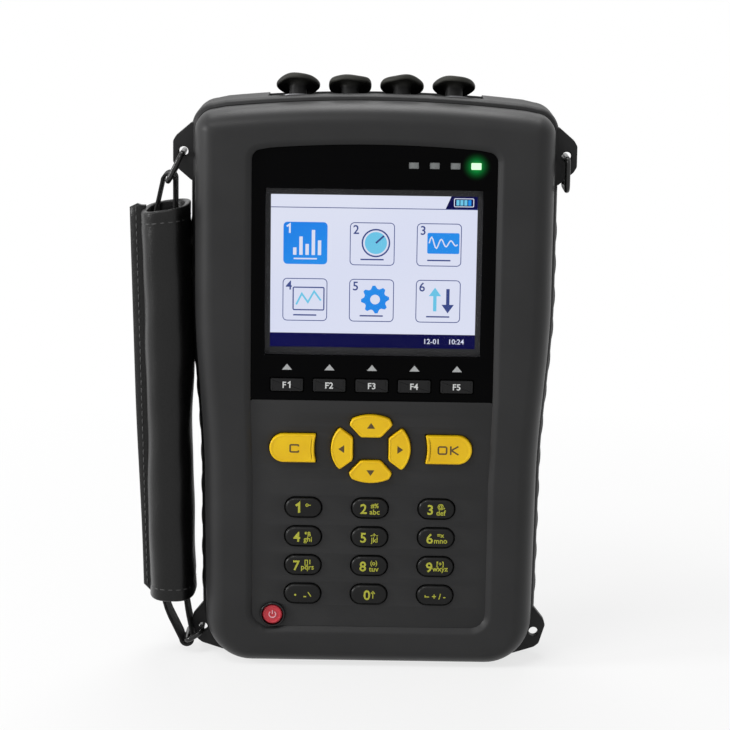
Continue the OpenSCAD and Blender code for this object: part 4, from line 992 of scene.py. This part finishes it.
def drawArrows(layers, x, z, y, front):
    up, down = layers["screenCyan"], layers["screenInk"]
    up.stroke([(x - 1.6, z - 3.6), (x - 1.6, z + 2.2)], 1.1, front, y)
    up.plate([(x - 3.6, z + 1.4), (x + 0.4, z + 1.4), (x - 1.6, z + 4.2)], [], y - 0.05, y, edge=0)
    down.stroke([(x + 2.6, z + 3.8), (x + 2.6, z - 2)], 1.1, front, y)
    down.plate([(x + 2.6, z - 4.2), (x + 4.6, z - 1.4), (x + 0.6, z - 1.4)], [], y - 0.05, y, edge=0)


def displayTile(layers, k, draw, x, z):
    side, y, c = picture["tile"], pictureY, picture
    tile = boxLoop(x, z, side, side - 0.6, 1.6)
    numberX, numberZ, front = x - side / 2 + 2.3, z + side / 2 - 3.0, y - 0.06
    if k:
        drawn = layers["screenInk"]
        drawn.stroke(tile, 0.32, y - 0.03, y + 0.02, closed=True)
        glyphs(drawn, str(k + 1), c["number"], numberX, numberZ, front, weight=0.06, thick=0.01)
    else:  # the first tile is the chosen one
        drawn = layers["screenLight"]
        layers["screenBlue"].plate(tile, [], y - 0.04, y + 0.01, edge=0)
        digitOne(drawn, numberX, numberZ, c["number"], y, 0.14)
    drawn.stroke([(x - 4.6, z - 6.2), (x + 4.6, z - 6.2)], 0.55, front, y)
    before = {name: len(form.points) for name, form in layers.items()}
    draw(layers, x, z, y, front)
    for name, start in before.items():
        form, scale = layers[name], c["iconScale"]
        form.points[start:] = [(x + c["iconX"] + (px - x) * scale, py, z + c["iconZ"] + (pz - z) * scale)
                               for px, py, pz in form.points[start:]]


def displayPicture():
    w, h, mid, y, c = screen["w"], screen["h"], screen["z"], pictureY, picture
    left, right, top, low = -w / 2, w / 2, mid + h / 2, mid - h / 2
    layers = {name: Form() for name in pictureSlots}
    pale, blue, navy, ink, cyan = layers.values()
    over, under = y - 0.03, y + 0.02
    navy.plate(boxLoop(0, low + c["bar"] / 2, w, c["bar"], 0.1), [], over, under, edge=0)
    ink.stroke([(left, top - 5.2), (right, top - 5.2)], c["line"], over, under)
    tab = [(right - c["tabWide"], top - c["tabLow"]), (right, top - c["tabLow"]), (right, top),
           (right - c["tabTop"], top)]
    navy.plate(tab, [], over, under, edge=0)
    pale.stroke(boxLoop(right - 5.4, top - 2.5, 7.6, 3.2, 0.4), c["line"], y - 0.06, y, closed=True)
    for k in range(4):  # the bars of the battery sign
        bars = blue if k == 3 else cyan
        bars.plate(boxLoop(right - 7.8 + 1.55 * k, top - 2.5, 1.2, 2.2, 0.1), [], y - 0.07, y, edge=0)
    for text, away in (("10:24", 7.2), ("12-01", 17.2)):
        glyphs(pale, text, c["clock"], right - away, low + c["bar"] / 2, y - 0.05, weight=0.03, thick=0.01)
    for k, draw in enumerate((drawBars, drawDial, drawWave, drawTrend, drawGear, drawArrows)):
        tileX = (k % 3 - 1) * c["tileX"] + c["shift"]
        displayTile(layers, k, draw, tileX, top - c["firstZ"] - (k // 3) * c["tileZ"])
    for finish, slot in pictureSlots.items():
        addPiece("picture_" + finish, layers[finish], finish, angle=50)


displayPicture()
print("display picture made")


# rear shell: socket deck that leans back, lugs, grips, screws and battery door
rear = {"troughIn": 6.0, "troughDrop": 0.9, "troughRun": 22.6, "deck": 3.5, "troughRoom": 3.0, "lean": 20.0,
        "pitch": 20.9, "bore": 11.0, "capD": 17.4, "run": 10.0, "gripY0": -3.4, "gripWide": 18.0,
        "gripThick": 2.0, "ribPitch": 13.3, "ribs": 12, "ribHigh": 0.9, "gripSink": 0.45, "gripLow": 23.0,
        "screwHead": 8.2, "screwSink": 8.0, "bayMid": 60.0, "bayW": 70.0, "bayH": 72.0, "doorLip": 3.0,
        "doorFit": 0.2, "doorThick": 2.5, "earOut": 2.0, "earW": 12.0, "doorScrew": 41.0, "blockSide": 2.5,
        "blockBack": 7.2, "blockLow": 3.3, "edge": 0.45, "lugFront": -7.0, "lugBack": -3.0, "lugEye": 1.9,
        "lugHalf": 11.6}
lugs = [{"x": 73.2, "z": 206.6, "reach": 7.4, "turn": 0, "inset": 0, "eye": (76.382, 206.6)},
        {"x": 68.3, "z": 9.6, "reach": 9.2, "turn": 17, "inset": 5.5, "eye": (68.3, 9.6)}]
screwSpots = [(s * x, z) for s in (-1, 1) for x, z in ((60.2, 206.2), (55.5, 100.0), (52.0, 27.0))]
troughHalf = 1.5 * rear["pitch"] + rear["capD"] / 2 + rear["troughRoom"]
leanSin, leanCos = math.sin(math.radians(rear["lean"])), math.cos(math.radians(rear["lean"]))
deckY, deckZ = case["joint"] + rear["troughIn"], case["height"] - rear["troughDrop"]


def onDeck(x, run, up):
    return x, deckY + run * leanCos + up * leanSin, deckZ - run * leanSin + up * leanCos


def underDeck(y):
    return deckZ - (y - deckY) * leanSin / leanCos - rear["deck"] / leanCos


def socketX(i):
    return (i - 1.5) * rear["pitch"]


def gripLine(side, out, steps=6):
    n = rear["ribs"] * steps
    heights = [rear["gripLow"] + rear["ribPitch"] * rear["ribs"] * k / n for k in range(n + 1)]
    return [(side * (halfAt(z) + out), z) for z in heights]


def doorLoop(grow):
    w, h = rear["bayW"] / 2 + rear["doorLip"] + grow, rear["bayH"] / 2 + rear["doorLip"] + grow
    ear, out = rear["earW"] / 2 + grow, h + rear["earOut"] + rear["earW"] / 2
    right = [(ear, -out), (ear, -h), (w, -h), (w, h), (ear, h), (ear, out)]
    corners = right[2:] + [(-x, -z) for x, z in right] + right[:2]
    return [(x, z + rear["bayMid"]) for x, z in roundLoop(corners, 3.0 + grow, 6)]


def rearBody():
    form, roll, wall, back, joint = Form(), case["backRoll"], case["rearWall"], case["back"], case["joint"]
    lipIn, backIn = case["setIn"] - 0.6, back - case["backWall"]
    rings = [atDepth(caseLoop(wall + roll, wall + roll), backIn),
             atDepth(caseLoop(wall + roll / 4, wall + roll / 4), backIn - roll / 4),
             atDepth(caseLoop(wall, wall), back - roll), atDepth(caseLoop(wall, wall), joint),
             atDepth(caseLoop(lipIn + 0.3, 0.3), joint), atDepth(caseLoop(lipIn, 0.1), joint + 0.3)]
    for k in range(1, 8):
        a = math.radians(90 * k / 7)
        y = joint + 0.3 + case["lip"] * (1 - math.cos(a))
        rings.append(atDepth(caseLoop(lipIn * (1 - math.sin(a)), 0), y))
    rings += rollRings(0, 0, back, roll, -roll, 12)
    form.loft(rings, capFirst=True, capLast=True)
    return makePiece("rearCase", form)


def deckEdge(half, up):
    far = rear["troughRun"]
    return [onDeck(x, run, up) for x, run in ((-half, 0), (half, 0), (half, far), (-half, far))]


def lugPlate(form, lug, side):
    t, half, reach = math.radians(lug["turn"]), rear["lugHalf"], lug["reach"]
    right = [(-5, -half), (0, -half), (0.84 * reach, -6.26), (reach, -4.18)]
    shape = right + [(u, -v) for u, v in reversed(right)]
    loop = [(lug["x"] + (u - lug["inset"]) * math.cos(t) + v * math.sin(t),
             lug["z"] - (u - lug["inset"]) * math.sin(t) + v * math.cos(t)) for u, v in shape]
    if side < 0:
        loop = [(-x, z) for x, z in reversed(loop)]
    hole = circleLoop(side * lug["eye"][0], lug["eye"][1], rear["lugEye"], 28)
    form.plate(roundLoop(loop, 0.6, 4), [hole], rear["lugFront"], rear["lugBack"], edge=0.35, backEdge=0.35)


def cutAway(shell, form):
    carve(shell, makePiece("cutter", form))


def socketDeck(shell):
    side, far = troughHalf + rear["blockSide"], case["back"] - rear["blockBack"]
    block, top = Form(), deckZ - rear["blockLow"]
    profile = [(deckY, underDeck(deckY)), (far, underDeck(far)), (far, top), (deckY, top)]
    block.loft([[(x, y, z) for y, z in profile] for x in (-side, side)], capFirst=True, capLast=True)
    carve(shell, makePiece("block", block), "UNION")
    trough, bores, r = Form(), Form(), rear["bore"] / 2
    trough.loft([deckEdge(troughHalf, 0.0), deckEdge(troughHalf, 40.0)], capFirst=True, capLast=True)
    cutAway(shell, trough)
    for i in range(4):
        bores.turned([(r, -12), (r, 6)], lambda u, v, up: onDeck(socketX(i) + u, rear["run"] + v, up), 40)
    cutAway(shell, bores)


def bayAndWells(shell):
    bay, sinks, back, near = Form(), Form(), case["back"], rear["gripY0"]
    bay.plate(doorLoop(rear["doorFit"]), [], back - rear["doorThick"], back + 2, edge=0)
    cutAway(shell, bay)
    for x, z in screwSpots:
        well = circleLoop(x, z, rear["screwHead"] / 2, 32)
        sinks.plate(well, [], back - rear["screwSink"], back + 2, edge=0)
    for side in (-1, 1):
        loop = gripLine(side, -rear["gripThick"]) + gripLine(side, 3)[::-1]
        sinks.plate(loop[::-1] if side > 0 else loop, [], near, near + rear["gripWide"], edge=0)
    cutAway(shell, sinks)


def lugsAndSleeves(shell):
    extra, back = Form(), case["back"]
    for side in (-1, 1):
        for lug in lugs:
            lugPlate(extra, lug, side)
    for x, z in screwSpots:  # a sleeve round each case screw
        extra.tube(x, z, [(2.1, back - 8), (4.1, back - 8), (4.1, back - 2.5), (5.3, back - 2.5),
                          (5.3, back - 9), (2.1, back - 9)], 28)
    joined = makePiece("extra", extra)
    work = bmesh.new()
    work.from_mesh(shell.data)
    work.from_mesh(joined.data)
    work.to_mesh(shell.data)
    work.free()
    bpy.data.objects.remove(joined)


def rearShell():
    shell = rearBody()
    socketDeck(shell)
    bayAndWells(shell)
    roundEdges(shell, rear["edge"], 50, 2)
    lugsAndSleeves(shell)
    smoothShade(shell, 30)
    evenNormals(shell)
    dress(shell, "shellBlack", "case", "rear_shell")


def sideGrip(side, name, node):
    form, n, r, wide = Form(), 16, 0.7, rear["gripWide"]
    y0, y1 = rear["gripY0"], rear["gripY0"] + wide
    rings = []
    for k in range(rear["ribs"] * n + 1):
        z = rear["gripLow"] + rear["ribPitch"] * k / n
        rib = abs(math.sin(math.pi * (k % n) / n)) ** 0.8
        deep, top = halfAt(z) - rear["gripThick"], halfAt(z) - rear["gripSink"] + rear["ribHigh"] * rib
        ring = [(deep, y0)] + arcPoints(top - r, y0 + r, r, -90, 0, 4)
        ring += [(top + 0.12 * math.sin(math.pi * j / 6), y0 + r + (wide - 2 * r) * j / 6)
                 for j in range(1, 6)]
        ring += arcPoints(top - r, y1 - r, r, 0, 90, 4) + [(deep, y1)]
        rings.append([(side * x, y, z) for x, y in ring])
    form.loft(rings, capFirst=True, capLast=True)
    addPiece(name, form, "gripRubber", replaced=node, angle=40)


def batteryDoor():
    form, back = Form(), case["back"]
    screws = [rear["bayMid"] + side * rear["doorScrew"] for side in (-1, 1)]
    holes = [circleLoop(0, z, 3.0, 32) for z in screws]
    form.plate(doorLoop(-0.05), holes, back - rear["doorThick"], back, edge=0.0, backEdge=0.5)
    for z in screws:
        form.tube(0, z, [(1.6, back - 1.25), (3.2, back - 1.25), (3.2, back - 2.5), (1.6, back - 2.5)], 32)
    addPiece("batteryDoor", form, "shellBlack", replaced="battery_door", angle=35)


rearShell()
sideGrip(-1, "leftGrip", "left_grip")
sideGrip(1, "rightGrip", "right_grip")
batteryDoor()
print("rear shell, grips and door made")

# dust caps, pulled out a little and each bent in its own way
dustCap = {"rim": 8.7, "rise": 6.2, "stem": 3.6, "long": 10.0, "wave": 0.25, "tilt": 9,
           "tilts": (1.5, -1, 0.5, -2), "bend": 4.4}


def capForm(i):
    c, form = dustCap, Form()
    r, up, stem, end = c["rim"], c["rise"], c["stem"], -c["long"]
    neck = ((-0.1, -1.6), (0.1, -0.4), (0.7, 0.7), (1.6, 1.25))
    brim = ((-2.2, 1.3), (-1.5, 0.9), (-1.2, 0.2), (-1.0, -0.1), (-0.6, -0.2), (-0.15, 0), (0, 0.5),
            (0.02, 1.1), (-0.08, 1.6), (-0.35, 2.05), (-0.9, 2.35), (-2.2, 2.5))
    profile = [(0.01, end), (stem - 0.8, end), (stem - 0.2, end + 0.4), (stem, end + 1.2), (stem, 0)]
    profile += [(stem + out, up + high) for out, high in neck] + [(r + out, up + high) for out, high in brim]
    profile += [(r * 0.5, up + 2.72), (r * 0.2, up + 2.86), (0.01, up + 2.88)]
    phase, lean = i * 2.1 + 0.6, math.radians(c["tilt"] + c["tilts"][i])

    def spot(r0, a, h):
        out = ease((r0 - 4.5) / 4.0)  # only the rim is wavy
        h += out * c["wave"] * (math.sin(3 * a + phase) + 0.6 * math.sin(5 * a - phase))
        r1 = r0 * (1 + 0.012 * out * math.sin(4 * a + phase * 1.7))
        u, v, t = r1 * math.cos(a), r1 * math.sin(a), h - c["bend"]
        turn = lean * ease((t + 1.5) / 3)
        along, high = v * math.cos(turn) + t * math.sin(turn), t * math.cos(turn) - v * math.sin(turn)
        return onDeck(socketX(i) + u, rear["run"] + along, c["bend"] + high)

    rings = [[spot(r0, 2 * math.pi * k / 64, h) for k in range(64)] for r0, h in profile]
    form.loft(rings, capFirst=True, capLast=True)
    return form


for i in range(4):
    n = i + 1
    addPiece("dustCap%d" % n, capForm(i), "capRubber", body="cap_%d" % n,
             replaced="dust_cap_%d" % n, angle=50, weld=0.0002)
print("dust caps made")

# strap: a webbing loop through two rings, with the padded sleeve on it
strap = {"width": 14.0, "thick": 1.2, "loop": 1.9, "legHalf": 4.0, "topBar": (-82.11, 195.15),
         "lowBar": (-74.66, 5.63), "topX": -84.4, "lowX": -80.0, "low": 24.6, "high": 184.6, "legIn": 8.0}
sleeve = {"w": 17.6, "d": 36.0, "wall": 2.4, "seam": 5.0, "seamLess": 1.0, "seamThick": 3.0, "share": 0.7,
          "puff": 0.125, "pinch": 0.55, "hem": 5.0, "fuller": 1.8, "fullerLow": 1.0, "slope": 3.2,
          "ear": 2.4, "end": 0.8}
stitches = {"spacing": 3.2, "length": 2.4, "radius": 0.34, "seamIn": 2.3, "proud": 0.12}


def sleeveX(z):
    low, high = strap["low"], strap["high"]
    return strap["lowX"] + (strap["topX"] - strap["lowX"]) * (z - low) / (high - low)


def webbing():
    t, half, low, high = strap["thick"] / 2, strap["width"] / 2, strap["low"], strap["high"]
    legZ = [low - strap["legIn"] / 2, low + strap["legIn"], (low + high) / 2, high - strap["legIn"]]
    path = arcPoints(*strap["topBar"], strap["loop"] + t, 0, 180, 16)
    path += [(sleeveX(z) - strap["legHalf"] - t, z) for z in reversed(legZ)]
    path += arcPoints(*strap["lowBar"], strap["loop"] + t, 180, 360, 16)
    path += [(sleeveX(z) + strap["legHalf"] + t, z) for z in legZ]
    path = smoothPath(path, 2)
    n, form = len(path), Form()
    side = [(-half, -t * 0.5), (-half + 0.35, -t), (-half + 1.2, -t), (0, -t),
            (half - 1.2, -t), (half - 0.35, -t), (half, -t * 0.5)]
    section = side + [(u, -v) for u, v in reversed(side)]
    rings, across, run = [], [], 0.0
    for i in range(n):
        a, p, b = Vector(path[i - 1]), Vector(path[i]), Vector(path[(i + 1) % n])
        d = (b - a).normalized()
        out = Vector((d.y, -d.x))
        if i:
            run += (p - a).length
        rings.append([(p.x + out.x * v, strapY + u, p.y + out.y * v) for u, v in section])
        across += [(run, u) for u, v in section]  # the weave follows the band
    form.loft(rings, joinEnds=True, across=across)
    addPiece("strapWebbing", form, "webbingBlack", body="hand_strap",
             replaced="strap_webbing", angle=60)


def smoothPath(path, times):
    for _ in range(times):
        pairs = list(zip(path, path[1:] + path[:1]))
        path = [(a[0] * (1 - t) + b[0] * t, a[1] * (1 - t) + b[1] * t) for a, b in pairs for t in (0.25, 0.75)]
    return path


def ovalPoint(w, d, a, share):
    c, s = math.cos(a), math.sin(a)
    return math.copysign(abs(c) ** share, c) * w / 2, math.copysign(abs(s) ** share, s) * d / 2


def sleeveSkin(z, a, grow, wavy=True):
    s, low, high = sleeve, strap["low"], strap["high"]
    edge = min(z - low, high - z)
    x, y = ovalPoint(s["w"] + 2 * grow, s["d"] + 2 * grow, a, s["share"])
    far = math.hypot(x / s["w"], y / s["d"]) or 1
    add = 0
    if wavy:  # a pinch at the stitched hem, and soft folds between the hems
        add = -s["pinch"] * math.exp(-((edge - s["hem"]) / 1.3) ** 2) if edge > 0 else 0
        add -= s["puff"] * ease((edge - s["hem"]) / 14)
        add += (0.16 * math.sin(z * 0.11 + 2 * a) + 0.1 * math.sin(z * 0.23 - 3 * a + 1.3)) * ease(edge / 8)
    full = s["fuller"] * max(0, math.cos(a)) ** 0.5 * ease((z - 85) / 45)
    full -= s["fullerLow"] * max(0, -math.cos(a)) ** 0.5 * ease((110 - z) / 70)
    lift = s["slope"] * x / s["w"] * ease((z - high + 12) / 12)
    return sleeveX(z) + x + x / s["w"] / far * add + full, strapY + y + y / s["d"] / far * add, z + lift


def sleeveSeam():
    low, high, s, rows = strap["low"], strap["high"], sleeve, []
    for k in range(61):
        z = low + (high - low) * k / 60
        full = min(1, 0.35 + 0.65 * ease(min(z - low, high - z) / 2.5))
        wide = (s["seam"] - s["seamLess"] * ease((110 - z) / 70)) * full
        nip = 0.06 * math.sin(z * 2 * math.pi / 3.0)
        ear = s["ear"] * ease((z - high + 8) / 8)
        edge = [(1.6, 1.0), (0.0, 0.95), (-wide * 0.3, 1.0 - nip), (-wide * 0.6, 0.84), (-wide * 0.86, 0.52),
                (-wide, 0.14)]
        row = [(x, -share) for x, share in edge] + edge[::-1]
        start, half = sleeveX(z) - s["w"] / 2, s["seamThick"] / 2
        rows.append([(start + x, strapY + half * share, z + ear * ease(-x / s["seam"])) for x, share in row])
    return rows


def handSleeve():
    form, count, s = Form(), 72, sleeve
    low, high, r = strap["low"] + s["end"], strap["high"] - s["end"], s["wall"] / 2
    turns = [math.radians(a) for a in (30, 60, 90, 120, 150)]

    def ring(z, grow, wavy=False):
        return [sleeveSkin(z, 2 * math.pi * k / count, grow, wavy) for k in range(count)]

    # up the outside and down the lining
    rings = [ring(low + (high - low) * k / 60, 0, True) for k in range(61)]
    rings += [ring(high + s["end"] * math.sin(a), -r + r * math.cos(a)) for a in turns]
    rings += [ring(high - (high - low) * k / 12, -s["wall"]) for k in range(13)]
    rings += [ring(low - s["end"] * math.sin(a), -r - r * math.cos(a)) for a in turns]
    form.loft(rings, joinEnds=True)
    form.loft(sleeveSeam(), capFirst=True, capLast=True)
    pad = addPiece("handSleeve", form, "sleeveLeather", body="hand_strap",
                   replaced="hand_sleeve", angle=60)


def stitchTree():
    tree = bpy.data.node_groups.new("stitchRow", "GeometryNodeTree")
    for name, kind in (("Path", "Geometry"), ("Spacing", "Float"), ("Length", "Float"), ("Radius", "Float"),
                       ("Finish", "Material")):
        tree.interface.new_socket(name, in_out="INPUT", socket_type="NodeSocket" + kind)
    tree.interface.new_socket("Stitches", in_out="OUTPUT", socket_type="NodeSocketGeometry")
    made = {}
    for name, kind in (("start", "NodeGroupInput"), ("line", "GeometryNodeMeshToCurve"),
                       ("points", "GeometryNodeCurveToPoints"), ("ball", "GeometryNodeMeshUVSphere"),
                       ("size", "ShaderNodeCombineXYZ"), ("put", "GeometryNodeInstanceOnPoints"),
                       ("real", "GeometryNodeRealizeInstances"), ("paint", "GeometryNodeSetMaterial"),
                       ("end", "NodeGroupOutput")):
        made[name] = tree.nodes.new(kind)
    made["points"].mode = "LENGTH"
    for name, value in (("Segments", 8), ("Rings", 6), ("Radius", 1.0)):
        made["ball"].inputs[name].default_value = value
    links = (("start", "Path", "line", "Mesh"), ("line", "Curve", "points", "Curve"),
             ("start", "Spacing", "points", "Length"), ("start", "Radius", "size", "X"),
             ("start", "Radius", "size", "Y"), ("start", "Length", "size", "Z"),
             ("points", "Points", "put", "Points"), ("points", "Rotation", "put", "Rotation"),
             ("ball", "Mesh", "put", "Instance"), ("size", "Vector", "put", "Scale"),
             ("put", "Instances", "real", "Geometry"), ("real", "Geometry", "paint", "Geometry"),
             ("start", "Finish", "paint", "Material"), ("paint", "Geometry", "end", "Stitches"))
    for one, output, other, entry in links:
        tree.links.new(made[one].outputs[output], made[other].inputs[entry])
    return tree


def sleeveStitches():
    s, low, high = sleeve, strap["low"] + 4, strap["high"] - 2
    side, heights = s["seamThick"] * 0.46, [low + (high - low) * k / 80 for k in range(81)]
    paths = [[(sleeveX(z) - s["w"] / 2 - stitches["seamIn"], strapY + y, z) for z in heights]
             for y in (-side, side)]
    for z in (strap["low"] + s["hem"], strap["high"] - s["hem"]):
        paths.append([sleeveSkin(z, 2 * math.pi * k / 72, stitches["proud"]) for k in range(73)])
    points, edges = [], []
    for path in paths:
        edges += [(len(points) + i, len(points) + i + 1) for i in range(len(path) - 1)]
        points += [(x * mm, y * mm, z * mm) for x, y, z in path]
    lines = bpy.data.meshes.new("stitchPath")
    lines.from_pydata(points, edges, [])
    held = bpy.data.objects.new("stitchPath", lines)
    view.collection.objects.link(held)
    row = held.modifiers.new("stitches", "NODES")
    row.node_group = stitchTree()
    values = {"Spacing": stitches["spacing"] * mm, "Length": stitches["length"] / 2 * mm,
              "Radius": stitches["radius"] * mm, "Finish": finishes["stitchThread"]}
    for item in row.node_group.interface.items_tree:
        if item.in_out == "INPUT" and item.name in values:
            row[item.identifier] = values[item.name]
    view.view_layers[0].update()
    mesh = bpy.data.meshes.new_from_object(held.evaluated_get(bpy.context.evaluated_depsgraph_get()))
    piece = bpy.data.objects.new("sleeveStitches", mesh)
    view.collection.objects.link(piece)
    bpy.data.objects.remove(held)
    smoothShade(piece, 180)
    dress(piece, "stitchThread", "hand_strap")


webbing()
handSleeve()
sleeveStitches()
print("strap, sleeve and stitches made")

# floor, backdrop and lamps
stage = {"floor": (0.93, 0.93, 0.93), "wide": 6.0, "world": 0.32, "near": 0.2, "far": 0.5, "lift": 0.74}
lamps = {"key": {"at": (-0.55, -0.75, 1.45), "size": 0.7, "power": 8, "aim": (0, 0, 0.12)},
         "top": {"at": (0.0, 0.7, 1.3), "size": 0.7, "power": 7, "aim": (0, 0, 0.2)},
         "left": {"at": (-1.3, -0.35, 0.5), "size": 0.45, "power": 11, "aim": (0, 0, 0.12)}}


def seenRays(tree):  # 1 for the rays that should see the white background
    path = tree.nodes.new("ShaderNodeLightPath")
    total = path.outputs["Is Camera Ray"]
    for ray in ("Is Glossy Ray", "Is Transmission Ray"):
        both = tree.nodes.new("ShaderNodeMath")
        both.operation, both.use_clamp = "ADD", True
        tree.links.new(total, both.inputs[0])
        tree.links.new(path.outputs[ray], both.inputs[1])
        total = both.outputs[0]
    return total


def mixLooks(tree, share, first, second, out):
    mix = tree.nodes.new("ShaderNodeMixShader")
    for source, entry in zip((share, first.outputs[0], second.outputs[0]), mix.inputs):
        tree.links.new(source, entry)
    tree.links.new(mix.outputs[0], out.inputs[0])


def floorPaint():
    paint = Finish("floorPaint", stage["floor"], 0.9, Specular_IOR_Level=0.0)
    tree = paint.tree
    away = paint.node("ShaderNodeVectorMath", {"operation": "LENGTH"}, out="Value", at0=paint.place)
    share = paint.spread(away, stage["near"], stage["far"], stage["lift"], 1.0) * Wire(paint, seenRays(tree))
    out = next(n for n in tree.nodes if n.type == "OUTPUT_MATERIAL")
    mixLooks(tree, share.socket, paint.skin, tree.nodes.new("ShaderNodeEmission"), out)
    return paint.material


def buildStage():
    mesh = bpy.data.meshes.new("floor")
    w = stage["wide"]
    mesh.from_pydata([(-w, -w, 0), (w, -w, 0), (w, w, 0), (-w, w, 0)], [], [(0, 1, 2, 3)])
    floor = bpy.data.objects.new("floor", mesh)
    view.collection.objects.link(floor)
    floor.data.materials.append(floorPaint())
    world = bpy.data.worlds.new("studio")
    view.world = world
    world.use_nodes = True
    tree = world.node_tree
    tree.nodes.clear()
    soft, plain = tree.nodes.new("ShaderNodeBackground"), tree.nodes.new("ShaderNodeBackground")
    for sky, strength in ((soft, stage["world"]), (plain, 1.0)):
        sky.inputs["Color"].default_value, sky.inputs["Strength"].default_value = (1, 1, 1, 1), strength
    mixLooks(tree, seenRays(tree), soft, plain, tree.nodes.new("ShaderNodeOutputWorld"))
    for name, lamp in lamps.items():
        light = bpy.data.lights.new(name, "AREA")
        light.shape, light.size, light.energy = "DISK", lamp["size"], lamp["power"]
        held = bpy.data.objects.new(name, light)
        view.collection.objects.link(held)
        held.location = lamp["at"]
        held.rotation_mode = "QUATERNION"
        held.rotation_quaternion = (Vector(lamp["at"]) - Vector(lamp["aim"])).to_track_quat("Z", "Y")


buildStage()
view.view_settings.view_transform = "Standard"
print("stage built")
